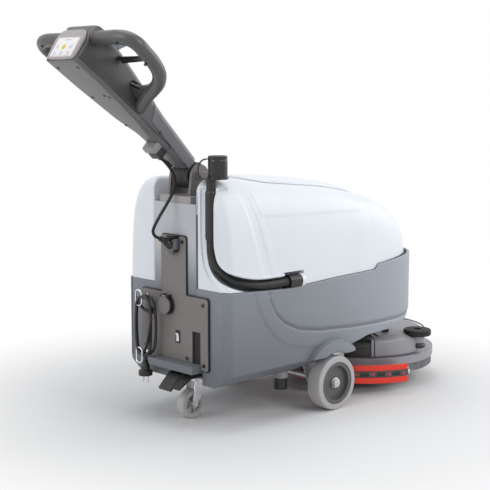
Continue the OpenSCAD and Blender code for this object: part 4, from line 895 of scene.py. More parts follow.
    def channel_liner(self):
        """Half-round trough under the hose with walls up to the dome and rounded lips laid on it."""
        raw = spline(HOSE, 8)
        line = even(raw, 3)
        reach = travelled(raw)
        at = np.linspace(0, reach[-1], len(line))
        out = np.stack([np.interp(at, reach, k) for k in spline(HOSE_OUT, 8).T], 1)
        keep = (line[:, 2] < 633) & (line[:, 0] < 210)
        _, out, across = hose_frame(line, out)
        line, out, across = line[keep], out[keep], across[keep]
        r = GROOVE_R
        steep = [(r + 9.5, -1.4), (r + 8, -0.1), (r + 6, 0.5), (r + 3.5, 0.5), (r + 1.6, -0.3), (r + 0.4, -1.8)]
        broad = [(r + 20.5, -1.4), (r + 19, -0.1), (r + 17, 0.4), (r + 15.4, 0.1), (r + 14, -1.2),
            (r + 12, -3.4), (r + 8, -5.4), (r + 4, -6.8), (r + 0.8, -8.0)]
        left = self.trough_side(line, out, across, broad, 8.6)
        right = self.trough_side(line, out, -across, steep, 2.6)
        floor = [line - out * r * math.sin(a) + across * r * math.cos(a) for a in np.linspace(0, math.pi, 22)]
        build("hose_channel", [(np.stack(left + floor + right[::-1], 1), False, False)], "white_tank",
            "machine", sharp=60)

    def trough_side(self, line, out, across, columns, below):
        """Lip columns at (distance from the middle, lift off the dome), then the wall down to the trough."""
        rows = []
        for lat, lift in columns:
            base = line + across * lat
            rows.append(base + out * (self.skin_height(base, out) + lift)[:, None])
        up = np.maximum(self.skin_height(line + across * (GROOVE_R + 0.1), out) - below, 0)
        return rows + [line + across * GROOVE_R + out * (up * k)[:, None] for k in (1.0, 0.5)]

    @staticmethod
    def lid():
        """Superelliptic lid: its height follows the tank's shoulder plus a shallow crown."""
        a = np.linspace(0, 2 * math.pi, 160, endpoint=False)
        c, s = np.cos(a), np.sin(a)
        grow = (np.abs(c) ** LID_N + np.abs(s) ** LID_N) ** (-1 / LID_N)

        def ring(rho, lift):
            """Superellipse at a share of the lid's size, lifted off the tank."""
            x = LID_X0 + LID_L / 2 + rho * grow * c * LID_L / 2
            y = rho * grow * s * LID_W / 2
            return np.stack([x, y, dome_height(x, y) + lift], -1)
        crown = lambda r: 5 + (LID_RISE - 5) * (1 - r ** 3) ** 0.6
        groove = lambda r: 0.7 * math.exp(-((r - 0.86) / 0.012) ** 2)
        top = [ring(r, crown(r) - groove(r)) for r in (
            0.001, 0.1, 0.2, 0.3, 0.4, 0.5, 0.6, 0.68, 0.75, 0.8, 0.83, 0.845, 0.855, 0.86, 0.865, 0.875, 0.89,
            0.92, 0.95, 0.972, 0.985)]
        rim = [ring(*k) for k in ((0.994, 4.2), (0.999, 3.2), (1.0, 2.2), (0.999, 1.2), (0.99, 0.8),
            (0.86, 0.8))]
        under = [ring(r, crown(r) - 3) for r in (0.85, 0.7, 0.5, 0.3, 0.1, 0.001)]
        build("tank_lid_shell", [(np.stack(top + rim + under), False, True)], "white_tank", "tank_lid",
              ("tank_lid",), sharp=60)


SKIN = 1.1
GROOVE_W = 12


class SCRUBBER_OT_lower_tank(Maker):
    """Side skin of the lower tank with its swept bands, and the wheel fenders"""
    bl_idname = "scrubber.lower_tank"
    bl_label = "Lower tank skin"

    def execute(self, context):
        a = np.linspace(0, math.pi / 2, 90)
        nose = np.stack([LOWER_L - NOSE_L + NOSE_L * np.sin(a) ** (2 / NOSE_N),
                         LOWER_W / 2 * np.cos(a) ** (2 / NOSE_N)], 1)
        corner = [(20 - 20 * math.cos(math.radians(k)), 180 + 20 * math.sin(math.radians(k)))
                  for k in (8, 25, 45, 65, 90)]
        half = np.concatenate([corner, [(60, 200), (200, 200), (340, 200)], nose])
        plan = even(np.concatenate([half, half[-2::-1] * (1, -1)]), 4.2)
        t = unit(np.gradient(plan, axis=0))
        out = np.stack([-t[:, 1], t[:, 0]], 1)
        x = plan[:, 0]
        low = np.interp(x, [0, 345, 385, 470, 545, 660, 740, 828],
                        [150.3, 150.3, 151, 165.3, 183.3, 186.3, 201.3, 235.3])
        arch = 96 ** 2 - (x - WHEEL_X) ** 2
        low = np.where(arch > 0, np.maximum(low, WHEEL_R + np.sqrt(np.maximum(arch, 0))), low)[:, None]
        high = split_at(x)[:, None] - 0.4
        self.skin(plan, out, low, high)
        self.groove_floor(plan, out, low, high)
        self.joint(plan, out, high)
        for side, name in ((-1, "fender_right"), (1, "fender_left")):
            self.fender(side, name)
        return {"FINISHED"}

    @staticmethod
    def upright(plan, out, grow, z):
        """Points above the plan at heights z, moved outwards by grow."""
        return np.stack([plan[:, :1] + grow * out[:, :1], plan[:, 1:] + grow * out[:, 1:], z], -1)

    @classmethod
    def skin(cls, plan, out, low, high):
        """Wall with rounded upper and lower edges that turn inwards."""
        v = np.concatenate([[0, 0.004, 0.01], np.linspace(0.02, 0.98, 62), [0.99, 0.996, 1]])
        z = low + (high - low) * v
        lip = np.maximum(drawn_in(high - z, 3), drawn_in(z - low, 2.5))
        p = cls.upright(plan, out, SKIN - lip + cls.relief(plan[:, :1], z), z)
        inwards = np.concatenate([out, 0 * out[:, :1]], 1)[:, None] * 3
        grid = np.concatenate([p[:, :1] - inwards, p, p[:, -1:] - inwards], 1)
        build("lower_tank_skin", [(grid, False, False)], "grey_tank", "machine", sharp=50)

    @classmethod
    def groove_floor(cls, plan, out, low, high):
        """Floor of the swept groove, just above the skin, darker to paint the groove's shade."""
        x = plan[:, :1]
        z = np.clip(cls.sweep(x) + np.array([3.4, 5.0, 8.0, 11.0, 12.2]), low + 3, high - 0.5)
        p = cls.upright(plan, out, SKIN + cls.relief(x, z) + 0.4, z)
        build("groove_floor", [(p, False, False)], "groove_shade_grey", "machine", sharp=50)

    @classmethod
    def joint(cls, plan, out, high):
        """Painted shadow in the joint between the two tanks: a dark line along each side as far as the nose."""
        p = cls.upright(plan, out, np.array([-0.3, -0.3, -1.4]), high + np.array([-1.5, 1.3, 1.7]))
        sides = [p[(plan[:, 0] < 770) & (plan[:, 1] * side > 0)] for side in (-1, 1)]
        build("tank_joint", [(side, False, False) for side in sides], "joint_shadow_grey", "machine", sharp=30)

    @staticmethod
    def sweep(x):
        """Lower edge of the groove."""
        return np.interp(x, [120, 140, 152, 172, 205, 260, 340, 470, 560, 700, 828],
                         [460, 369, 325, 290, 260, 236, 222, 212, 208, 206, 212])

    @classmethod
    def relief(cls, x, z):
        """A step and a groove that sweep down from the joint line and forward along the side."""
        first = np.interp(x, [70, 92, 112, 135, 165, 205, 250, 330, 470, 700, 828],
                          [460, 369, 312, 270, 236, 208, 192, 180, 170, 166, 170])
        above = z - cls.sweep(x)
        return 2.2 * smooth((z - first) / 7) - 3.0 * smooth(above / 4) + 2.6 * smooth((above - GROOVE_W) / 4)

    @staticmethod
    def fender(side, name):
        """Crescent over the wheel: a rounded strip swept through an arc about the axle."""
        a = np.linspace(math.radians(36), math.radians(144), 110)[:, None]
        profile = rounded([(85.5, 190), (85.5, 221.2, 3), (108, 221.2, 6), (120.2, 218, 8), (120.2, 190)], 3, 6,
                          closed=False)
        r, y = profile[None, :, 0], side * profile[None, :, 1]
        drop = 4 * (1 - smooth(np.minimum(a - a[0], a[-1] - a) / 0.25)) * (np.abs(y) > 205)
        p = np.stack([np.clip(WHEEL_X + np.cos(a) * r, 289, 473), y - side * drop,
                      np.maximum(WHEEL_R + np.sin(a) * r, 152.4)], -1)
        build(name, [(p, False, False)], "grey_tank", "machine", sharp=45)


# ---------------------------------------------------------------- rear panel

PANEL = [(-132, 157), (132, 157), (132, 346), (48, 346), (48, 500), (-48, 500), (-48, 346), (-132, 346)]


class SCRUBBER_OT_panel(Maker):
    """Rear panel's seal, screws, inlet cover, rocker surround, connector boss and cord hooks"""
    bl_idname = "scrubber.panel"
    bl_label = "Rear panel"

    def execute(self, context):
        build("panel_seal", [band(rounded(PANEL, 9, 5), -3.0, 4.0, 0.2, 4.6, backwards(0))], "black_plastic",
              "machine", sharp=30)
        dome = rounded([(0, 0), (4.6, 0), (4.6, -1.2, 0.8), (3.0, -2.4, 1.2), (1.9, -2.5), (1.7, -1.0),
                        (0, -1.0)], 0.4, 3, closed=False)
        for y, z in ((-114, 329), (114, 329), (-118, 171), (118, 191), (-52, 181), (-36, 486), (36, 486)):
            build(f"screw_{y}_{z}", [turned(dome, (-6, y, z), "x", 24)], "black_gloss", "machine")
        for y in (-66, 66):
            ring = [(0, 0), (3.4, 0), (3.4, -1.2, 0.6), (1.4, -1.4, 0.4), (1.2, -0.6), (0, -0.5)]
            build(f"brass_screw_{y}", [lathe(ring, 0.3, 3, (0, y, 474), "x", 20)], "brass", "machine")
        notch = lambda r, h, a: -1.6 * (r > 24) * (np.abs(np.sin(a * 2 + 0.6)) < 0.22)
        collar = [(22.4, -5.8), (27.0, -5.8), (27.0, -9.4, 1.5), (22.4, -9.8, 1.0), (22.4, -5.8)]
        build("inlet_collar", [lathe(collar, 1, 3, (0, 23, 314), "x", 96, notch)], "black_plastic", "machine")
        surround = rectangle(-24.5, 216, -7.5, 250, 2.5)
        build("rocker_surround", [band(surround, 0, 3.2, 5.8, 8.2, backwards(0))], "black_gloss", "machine",
              sharp=30)
        self.hooks(sizes().wire_d / 2)
        self.column()
        self.connector()
        return {"FINISHED"}

    @staticmethod
    def column():
        """Light face of the column above the panel, and the dark lining of the pedal slot: a black rim with a
        flat black sheet across the slot, which paints the shade inside it.
        """
        upper = rectangle(-82.4, 350, 82.4, 585.6, 3, 3)
        build("column_face", [slab(upper, -0.2, 1.0, 0.5, backwards(0))], "column_grey", "machine")
        rim = rectangle(-105, 169, -71, 257, 3, 4)
        rings = [ring_of(rim, d, h) for d, h in ((-1.0, 2.0), (-0.9, 0.5), (12.0, 0.4))] + [hub_of(rim, 0.35)]
        lining = backwards(0)(np.stack(rings))
        # painted shade: the flat black sheet stands for the shaded inside of the slot
        build("slot_shade_lining", [(lining, False, True)], "black_rubber", "machine", sharp=30)

    @staticmethod
    def connector():
        """Grey pocket on the stem that carries the cable's gland nut and boot."""
        cup = rounded([(-26, 494, 6), (21, 494, 6), (21, 470, 8), (8, 452, 12), (-12, 452, 12), (-26, 470, 8)],
            8, 6)
        build("connector_pocket", [slab(cup, 5.5, 22.6, 5.5, backwards(0))], "mid_grey_plastic", "machine")
        line = even(spline([(-20, -6, 476), (-26, -4.4, 480), (-31, -1.4, 485), (-36, 1.6, 489.5),
            (-41, 4.2, 493), (-46, 6.0, 495)], 6), 1)
        t = np.linspace(0, 1, len(line))
        r = np.where(t < 0.42, 11.6, np.where(t < 0.5, 9.4, np.where(t < 0.8, 8.2, 6.4)))
        r = r + 0.5 * np.sin(t * 60) * (t > 0.5)
        build("connector_boot", [tube(line, r, 28, (0, 1, 0.1))], "black_gloss", "machine", sharp=40)

    @staticmethod
    def hooks(r):
        """Two closed wire loops on short posts that hold the folded cord."""
        for k, z in enumerate((327, 171)):
            y, foot, high = 112, z - 21, 42
            loop = rounded([(87, foot), (111, foot), (111, foot + high), (87, foot + high)], 12, 8)
            loop = np.concatenate([loop, loop[:1]])
            bow = -46 + 1.6 * np.sin((loop[:, 1] - foot) / high * math.pi)
            path = even(np.column_stack([bow, loop]), 3)
            side, up = frames(path, (1, 0.02, 0.03))
            a = np.linspace(0, 2 * math.pi, 12, endpoint=False)[None, :, None]
            wire = path[:-1, None] + r * (np.cos(a) * side[:-1, None] + np.sin(a) * up[:-1, None])
            post = spline([(-6, y, z), (-20, y, z), (-38, y - 0.5, z), (-45, y - 1, z + 1)], 6)
            dish = [(0, -5.8), (6.5, -5.8), (6.5, -7.6, 0.8), (2.2, -8.6, 0.6), (0, -8.6)]
            build(f"cord_hook_{k}", [(wire, True, True), tube(post, r, 12, (0, 0, 1)),
                                     lathe(dish, 0.5, 3, (0, y, z), "x", 24)], "chrome_wire", "machine",
                  ("cord_hooks",) if k == 0 else ())


# ---------------------------------------------------------------- drain hose

RIBS_FROM = 158
SLEEVE_Z = (498, 624)


class SCRUBBER_OT_hose(Maker):
    """Ribbed drain hose with its sleeve"""
    bl_idname = "scrubber.hose"
    bl_label = "Drain hose"

    def execute(self, context):
        s = sizes()
        line = even(spline(HOSE, 10), s.hose_rib / 8)
        along = travelled(line)
        wave = 0.5 - 0.5 * np.cos(2 * math.pi * along / s.hose_rib)
        ribbed = smooth((along - RIBS_FROM) / 6) * (1 - smooth((along - along[-1] + 8) / 3))
        build("drain_hose_ribbed", [tube(line, s.hose_d / 2 - 1.3 * ribbed * wave ** 1.5, 28, (0.35, 1, 0.2))],
              "hose_black", "machine", ("drain_hose",))
        x, y = HOSE[0][:2]
        sleeve = even(np.array([(x, y, z) for z in SLEEVE_Z], float), 3)
        from_end = np.minimum(np.arange(len(sleeve)), np.arange(len(sleeve))[::-1])
        r = np.interp(from_end, [0, 1, 2], [13.6, 15.2, 15.8])
        build("hose_sleeve", [tube(sleeve, r, 36, (0, 1, 0))], "black_plastic", "machine")
        return {"FINISHED"}


# ---------------------------------------------------------------- handle

# height up the column, rear edge, rear half width, front edge, half width
RINGS = np.array([[34, -8, 20, 33, 35], [190, -32, 20, 37, 36], [252, -42, 40, 38, 44], [385, -62, 55, 42, 56],
                  [482, -77, 58, 46, 58], [540, -86, 58, 46, 58]], float)


def ring_at(p):
    """Rear edge, rear half width, front edge and half width of the column at height p."""
    return [np.interp(p, RINGS[:, 0], RINGS[:, k]) for k in (1, 2, 3, 4)]


def console_at(q):
    """Height of the tilted console over q."""
    return FACE_P + (q - FACE_Q) * math.tan(FACE_TILT)


def top_at(q):
    """Height of the head over q: the tilted console, a short level ridge, then the steep front."""
    ridge = np.interp(q, [5.4, 14, 25.4, 33, 60], [505.2, 505.0, 501.2, 494, 427.2])
    return np.where(q < 5.4, console_at(q), ridge)


def rear_edge(p):
    """Free edge of the rear cover at height p."""
    return np.interp(p, [34, 190, 489], [4, -20, -66])


def outline_at(p, d, kind, radius):
    """Rounded outline at height p, drawn in by d: the whole column, its rear cover or its front cover."""
    q0, w0, q1, w1 = ring_at(p)
    q0, w0, q1, w1 = q0 + d, w0 - d, q1 - d, w1 - d
    front = [(q1 - 12, -w1), (q1, 14 - w1), (q1, w1 - 14), (q1 - 12, w1)]
    if kind == "all":
        points = [(q0, -w0), (q0 + 14, -w1), *front, (q0 + 14, w1), (q0, w0)]
    elif kind == "front":
        points = [(-8 + d, -w1), *front, (-8 + d, w1)]
    else:
        edge = rear_edge(p) - d
        bend = min(q0 + 14, edge - 3)
        w_edge, w_bend = np.interp([edge, bend], [q0, q0 + 14], [w0, w1])
        points = [(edge, -w_edge), (bend, -w_bend), (q0, -w0), (q0, w0), (bend, w_bend), (edge, w_edge)]
    return rounded(points, radius, 5, closed=kind == "all")


def section(p, *shape):
    """Ring of the column whose points each lie on the outline at their own height."""
    heights, which = np.unique(np.round(p, 3), return_inverse=True)
    table = np.stack([outline_at(h, *shape) for h in heights])
    return table[which, np.arange(table.shape[1])]


def loft(kind, p0, top, radius, rim, inwards):
    """Rings carried up the column, each point to its own top height, with a rounded rim."""
    rows = 44
    steps = [(i / rows, 0.0, 0.0) for i in range(rows)]
    steps += [(1.0, rim * (1 - math.cos(a)), rim * (1 - math.sin(a))) for a in np.radians([0, 22, 45, 68, 90])]
    rings = []
    for k, d, fall in steps:
        q = np.zeros(1)
        for _ in range(4):
            p = p0 + k * (top(q) - p0)
            line = section(p, d + inwards, kind, radius)
            q = line[:, 0]
        rings.append(np.column_stack([line, p - fall]))
    return np.stack(rings)


class SCRUBBER_OT_handle(Maker):
    """Column with its covers, console, key panel, hood and hinge boot"""
    bl_idname = "scrubber.handle"
    bl_label = "Handle column"

    def execute(self, context):
        body = loft("all", 34, top_at, 6, 9, 0.7)
        foot = [body[0] * (1, k, 1) for k in (0.0, 0.5)]
        fill = [body[-1] * (1, k, 1) for k in (0.75, 0.5, 0.25, 0.0)]
        build("handle_shell", [(tilted(np.stack([*foot, *body, *fill])), False, True)], "dark_grey_plastic",
              "handle", ("handle_body", "column_cover", "rear_cover"), sharp=45)
        self.cover("rear_cover_skin", loft("rear", 36, console_at, 7, 1.2, -0.5), "rear_cover_grey")
        front = loft("front", 36, lambda q: np.interp(q, [-8, 38], [212, 244]), 7, 1.2, -0.4)
        self.cover("front_cover_skin", front, "mid_grey_plastic")
        self.seams()
        self.console()
        self.hood()
        self.hinge()
        self.dots()
        return {"FINISHED"}

    @staticmethod
    def cover(name, grid, finish):
        """Skin of a cover whose free edges turn inwards."""
        def inwards(g):
            """2 mm towards the middle of the section."""
            q0, _, q1, _ = ring_at(g[..., 2])
            return g + unit(np.stack([(q0 + q1) / 2, 0 * q0, g[..., 2]], -1) - g) * 2.0
        grid = np.concatenate([inwards(grid[:1]), grid, inwards(grid[-1:])])
        grid = np.concatenate([inwards(grid[:, :1]), grid, inwards(grid[:, -1:])], 1)
        build(name, [(tilted(grid), False, False)], finish, "handle", sharp=50)

    @staticmethod
    def seams():
        """Dark joint that follows both free edges of the rear cover."""
        p = np.linspace(42, 490, 90)
        q = rear_edge(p) + 0.6
        q0, w0, _, w1 = ring_at(p)
        half = w0 + (w1 - w0) * np.clip((q - q0) / 14, 0, 1) - 0.7
        build("cover_seams", [tube(np.stack([q, side * half, p], 1), 1.5, 10, (1, 0, 0), place=tilted)
                              for side in (-1, 1)], "black_plastic", "handle")

    @staticmethod
    def console():
        """Plate with a key panel of plain dots and rings."""
        outline = rounded([(2.5, -54, 9), (60, -57, 7), (84, -47, 14), (85, 0, 2), (84, 47, 14), (60, 57, 7),
                           (2.5, 54, 9), (1, 0, 2)], 4, 6)
        build("console_plate", [slab(outline, -1.5, 5.2, 2.4, face)], "console_grey", "handle",
            ("console_face",))
        key = rectangle(7, -44, 62, 44, 4, 5)
        build("key_membrane", [slab(key, 5.0, 5.75, 0.25, face)], "key_panel", "handle", ("key_overlay",))
        build("key_border", [band(inset(key, 1.2), 0, 0.9, 5.6, 5.85, face)], "key_outline", "handle", sharp=30)
        t = np.linspace(0, 2 * math.pi, 28, endpoint=False)
        circle = np.stack([np.cos(t), np.sin(t)], 1)
        for k, at in enumerate([(34.5, 4), (34.5, -24), (34.5, 30), (16, -26), (16, 2), (16, 30)]):
            if k == 0:
                build("key_0", [slab(circle * 7.0 + at, 5.6, 6.1, 0.25, face)], "key_yellow", "handle")
                continue
            build(f"key_{k}", [band(circle * 5.4 + at, 0, 0.7, 5.6, 5.85, face),
                               slab(circle * 5.4 * 0.28 + at, 5.6, 5.85, 0.1, face)], "key_grey", "handle")
        dash = rectangle(53, -1.6, 55.4, 1.6, 0.5, 2)
        build("key_lights", [slab(dash + (0, y), 5.6, 5.9, 0.1, face) for y in (-8, -2, 4, 10)], "key_grey",
              "handle")

    @staticmethod
    def hood():
        """Light hood over the dark box that the control cable leaves."""
        top = rounded([(-48, -22), (-22, -24), (-22, 24), (-48, 22)], 4, 5)
        build("cable_hood", [slab(top, 133.5, 152, 3, tilted)], "light_grey_plastic", "handle")
        box = rectangle(-45, -19.5, -18, 19.5, 4, 5)
        collar = np.array([(0, 100), (7.2, 100), (7.6, 104), (8.5, 112), (0, 112)], float)
        exit_collar = turned(collar, (-33, 0, 0), "z", 24, None, tilted)
        build("cable_box_skin", [slab(box, 109.6, 134, 2, tilted), exit_collar], "black_plastic", "handle",
              ("cable_box",))

    @staticmethod
    def hinge():
        """Round drum under the column, wrapped in a knurled boot, with its neck."""
        drum = lathe([(0, -31), (35, -31, 3), (35, 31, 3), (0, 31)], 2, 4, axis="y", sides=80, place=tilted)
        neck = rectangle(-3, -21, 29, 21, 4, 4)
        build("hinge_boot", [drum, slab(neck, 22, 52, 1, tilted)], "boot", "handle")

    @staticmethod
    def dots():
        """Dark screw recesses on the rear cover, the sides and the head."""
        spots = [((ring_at(p)[0] - 0.6, y, p), (-1, 0, 0.12))
                 for p, y in ((462, -40), (462, 40), (345, -34), (345, 34), (352, -22), (228, 24))]
        spots += [((q - 22, side * (ring_at(p)[3] + 0.3), p), (0, side, 0))
                  for q, p in ((10, 120), (12, 52), (14, 170)) for side in (-1, 1)]
        studs("handle_screws", spots, 4.2, "black_gloss", "handle")


def studs(name, spots, radius, finish, body):
    """Shallow round screw heads at (centre, direction) in the handle frame."""
    head = [(0, 0.9), (radius * 0.55, 0.9), (radius * 0.65, 1.1, 0.3), (radius, 1.0, 0.5), (radius, -1.5),
        (0, -1.5)]
    grids = []
    for centre, direction in spots:
        n = unit(np.array(direction, float))
        u = unit(np.cross(n, (0.31, 0.52, 0.8)))
        v = np.cross(n, u)
        place = lambda g: tilted(centre + g[..., :1] * u + g[..., 1:2] * v + g[..., 2:] * n)
        grids.append(lathe(head, 0.3, 2, sides=20, place=place))
    build(name, grids, finish, body)


LOOP = [(3, 30, 481), (3, 100, 481), (3, 141, 481), (5, 169, 473), (8, 183, 453), (12, 181, 423),
    (16, 177, 389), (16, 168, 354), (11, 150, 329), (6, 124, 312), (1, 97, 299), (-5, 68, 282), (-12, 38, 264),
    (-18, 12, 252)]
ALONG_LOOP = (1, 0.02, 0.01)


def flipped(side):
    """Place for the left side (1) or the right side (-1) of the handle."""
    return lambda p: tilted(np.asarray(p) * (1, side, 1))


def leaf(across, place):
    """Place for an outline in (sideways, up the column) that lies at across(sideways, up)."""
    return lambda g: place(np.stack([across(g[..., 0], g[..., 1]) + g[..., 2], g[..., 0], g[..., 1]], -1))


def bar(x, y0, y1, z, place):
    """Round pivot bar of a paddle or lever, across the handle."""
    return lathe([(0, y0), (5.2, y0, 1), (5.2, y1, 1), (0, y1)], 1, 3, (x, 0, z), "y", 24, None, place)


class SCRUBBER_OT_loops(Maker):
    """Handle loops with their webs, the trigger paddles and the release lever"""
    bl_idname = "scrubber.loops"
    bl_label = "Handle loops and triggers"

    def execute(self, context):
        line = even(spline(LOOP, 8), 4)
        web = rounded([(22, 250, 4), (70, 278, 12), (118, 303, 12), (152, 322, 6), (152, 338, 6),
            (112, 321, 30), (64, 318, 40), (22, 352, 4)], 8, 6)
        paddle = rounded([(66, 457), (147, 457), (147, 448), (118, 434), (66, 421)], 6, 5)
        for side, name in ((1, "left"), (-1, "right")):
            flip = flipped(side)
            loop = tube(line, sizes().grip_d / 2, 28, ALONG_LOOP, place=flip)
            folded = leaf(lambda y, p: 4 + 0.0684 * (y - 30) + 0.2333 * (p - 322), flip)
            build(f"handle_loop_{name}", [loop, slab(web, -6, 6, 3, folded)], "dark_grey_plastic", "handle",
                  (f"loop_{name}",), sharp=45)
            build(f"loop_collar_{name}", [self.collar(line, flip)], "dark_grey_plastic", "handle")
            spots = [((19.4, side * 128, 481), (1, 0, 0)), ((2, side * 128, 465), (-0.2, 0, -1)),
                     ((-5, side * 176, 400), (-1, side * 0.1, 0)), ((-9, side * 128, 314), (-1, 0, 0)),
                     ((-15.8, side * 150, 478), (-1, 0, 0)), ((-12, side * 96, 296), (-1, 0, 0.1))]
            studs(f"loop_screws_{name}", spots, 4.0, "black_gloss", "handle")
            curved = leaf(lambda y, p: 25 + 3 * np.sin((y - 66) / 81 * math.pi), flip)
            build(f"trigger_paddle_{name}", [slab(paddle, -2.4, 2.4, 1.8, curved), bar(22, 66, 146, 455, flip)],
                  "paddle_blue_grey", f"trigger_{name}", (f"trigger_{name}",), sharp=45)
        lever = rounded([(60, 409, 3), (72, 409, 4), (80, 405, 6), (150, 404, 3), (150, 392, 4), (84, 388, 6),
                         (60, 386, 3)], 3, 4)
        flip = flipped(-1)
        build("release_lever_bar", [slab(lever, -2.6, 2.6, 1.5, leaf(lambda y, p: 17, flip)),
                                    bar(14, 60, 150, 404, flip)],
              "black_gloss", "release_lever", ("release_lever",), sharp=45)
        return {"FINISHED"}

    @staticmethod
    def collar(line, place):
        """Raised ring where the tube enters the head."""
        part = line[(line[:, 1] > 55) & (line[:, 1] < 68) & (line[:, 2] > 470)]
        t = np.linspace(0, 1, len(part))
        return tube(part, 17.7 + 0.9 * np.sin(t * math.pi), 28, ALONG_LOOP, place=place)


# ---------------------------------------------------------------- deck, squeegee and cap

DECK = (747.0, 0.0)
PLATE_FROM, PLATE_TO, WELL_FROM, WELL_TO = 83.0, 127.0, 130.5, 151.0
SQUEEGEE = (734.0, 0.0)
BLADE_R0, BLADE_R1, BLADE_FROM, BLADE_TO = 265.9, 269.2, 106, 254
ROLLERS_R, ROLLERS_AT = 257.5, (104.6, 255.4)


class SCRUBBER_OT_deck(Maker):
    """Deck cover plates, knobs and post collars"""
    bl_idname = "scrubber.deck"
    bl_label = "Deck details"

    def execute(self, context):
        plate = rounded([(64, 148), (64, 154.5, 2), (192, 154.5, 8), (209.5, 147, 6), (212.5, 103, 3),
            (207, 98.6), (200, 99)], 2, 5)
        lip = rounded([(70, 154), (70, 157.5, 1), (182, 157.5, 3), (188, 154)], 1, 3)
        rib = rounded([(192, 147), (192, 156.5, 2), (211, 149, 3), (214.6, 104, 2), (205, 100)], 2, 4)
        well = rounded([(120, 147.6), (120, 149, 1), (196, 149, 4), (207.6, 142, 3), (209.2, 128, 1),
            (211.4, 126, 1), (211.8, 103, 2), (206, 100)], 1, 4)
        collar = [(0, 112), (24, 112, 2), (25.5, 120, 2), (22, 124, 1), (22.2, 128, 1), (0, 129)]
        knob = [(0, 150), (11, 150), (11, 160, 3), (9, 163, 2), (0, 164)]
        flutes = lambda r, h, a: -0.7 * (np.cos(a * 10) > 0.3) * (r > 10)
        for side, name in ((-1, "right"), (1, "left")):
            a0, a1 = sorted((side * PLATE_FROM, side * PLATE_TO))
            build(f"deck_plate_{name}", [sector(plate, DECK, a0, a1), sector(lip, DECK, a0 + 5, a1 - 5)],
                  "deck_bracket", "deck", sharp=42)
            ribs = [side * k for k in (PLATE_FROM - 2, PLATE_TO + 2)]
            build(f"deck_ribs_{name}", [sector(rib, DECK, k - 1.1, k + 1.1, 6) for k in ribs], "deck_bracket",
                  "deck", sharp=42)
            b0, b1 = sorted((side * WELL_FROM, side * WELL_TO))
            # painted shade: a dark plate stands for the shaded opening in the deck cover
            build(f"deck_well_{name}", [sector(well, DECK, b0, b1, 30)], "well_shade_black", "deck", sharp=42)
            build(f"post_collar_{name}", [lathe(collar, 1, 4, (778, side * 200, 0), "z", 40)], "black_plastic",
                  "deck")
            build(f"deck_knob_{name}", [lathe(knob, 1, 4, (716, side * 128, 5), "z", 60, flutes)],
                "black_gloss", "deck")
        bead = rounded([(198, 146), (198, 150.6, 1), (201, 150, 1), (201, 146)], 0.5, 2)
        build("deck_top_bead", [sector(bead, DECK, -88, 88, 90)], "cast_metal", "deck")
        return {"FINISHED"}


class SCRUBBER_OT_squeegee(Maker):
    """Red blades with the dark clamp strip between them, its pegs and the end rollers"""
    bl_idname = "scrubber.squeegee"
    bl_label = "Squeegee"

    def execute(self, context):
        r0, r1 = BLADE_R0, BLADE_R1
        upper = rounded([(r0, 75), (r1, 75, 0.8), (r1, 91.6, 1.2), (r0, 91.6)], 0.8, 3)
        lower = rounded([(r0, 55.5), (r1, 55.5, 0.8), (r1, 38.3, 0.4), (r0 + 1, 38.3, 0.4), (r0, 42)], 0.8, 3)
        strip = rounded([(r0 - 1, 56.5), (r1 - 0.8, 56.5, 1), (r1 - 0.8, 73.8, 1), (r0 - 1, 73.8)], 0.8, 3)
        a0, a1 = BLADE_FROM, BLADE_TO
        build("squeegee_blade_pair", [sector(k, SQUEEGEE, a0, a1, 110) for k in (upper, lower)], "red_rubber",
              "squeegee", ("squeegee_blades",), sharp=40)
        build("squeegee_clamp", [sector(strip, SQUEEGEE, a0 - 0.6, a1 + 0.6, 110)], "dark_grey_plastic",
            "squeegee")
        pegs = self.studded(np.linspace(a0 + 3, a1 - 3, 15), 0.55, 0.9, 61.5, 68, 0.6, 0.5, 4)
        bars = self.studded(np.linspace(a0 + 8, a1 - 8, 14), 2.6, 0.5, 59.5, 70.5, 0.4, 0.4, 6)
        build("squeegee_pegs", pegs, "red_rubber", "squeegee")
        build("squeegee_bars", bars, "black_gloss", "squeegee")
        roller = [(0, 59), (8.5, 59, 2), (8.5, 71, 2), (0, 71)]
        cap = [(0, 71), (4, 71), (4, 76, 1.4), (0, 76.5)]
        ends = []
        for a in np.radians(ROLLERS_AT):
            at = (SQUEEGEE[0] + ROLLERS_R * math.cos(a), ROLLERS_R * math.sin(a), 0)
            ends += [lathe(roller, 1, 4, at, "z", 36), lathe(cap, 1, 3, at, "z", 24)]
        build("squeegee_end_rollers", ends, "zinc_steel", "squeegee")
        return {"FINISHED"}

    @staticmethod
    def studded(angles, half, proud, z0, z1, corner, radius, steps):
        """Small blocks on the clamp strip, each as wide as twice half an angle."""
        inner, outer = BLADE_R1 - 1.2, BLADE_R1 + proud
        block = rounded([(inner, z0), (outer, z0, corner), (outer, z1, corner), (inner, z1)], radius, 2)
        return [sector(block, SQUEEGEE, k - half, k + half, steps) for k in angles]


CAP = (28, -135)
CAP_TURN = math.radians(136)


def beside_cap(g):
    """Place for shapes in (away from the cap, across, up), turned to the side where the strap is."""
    c, s = math.cos(CAP_TURN), math.sin(CAP_TURN)
    away, across, up = xyz(g)
    return np.stack([CAP[0] + away * c - across * s, CAP[1] + away * s + across * c, up], -1)


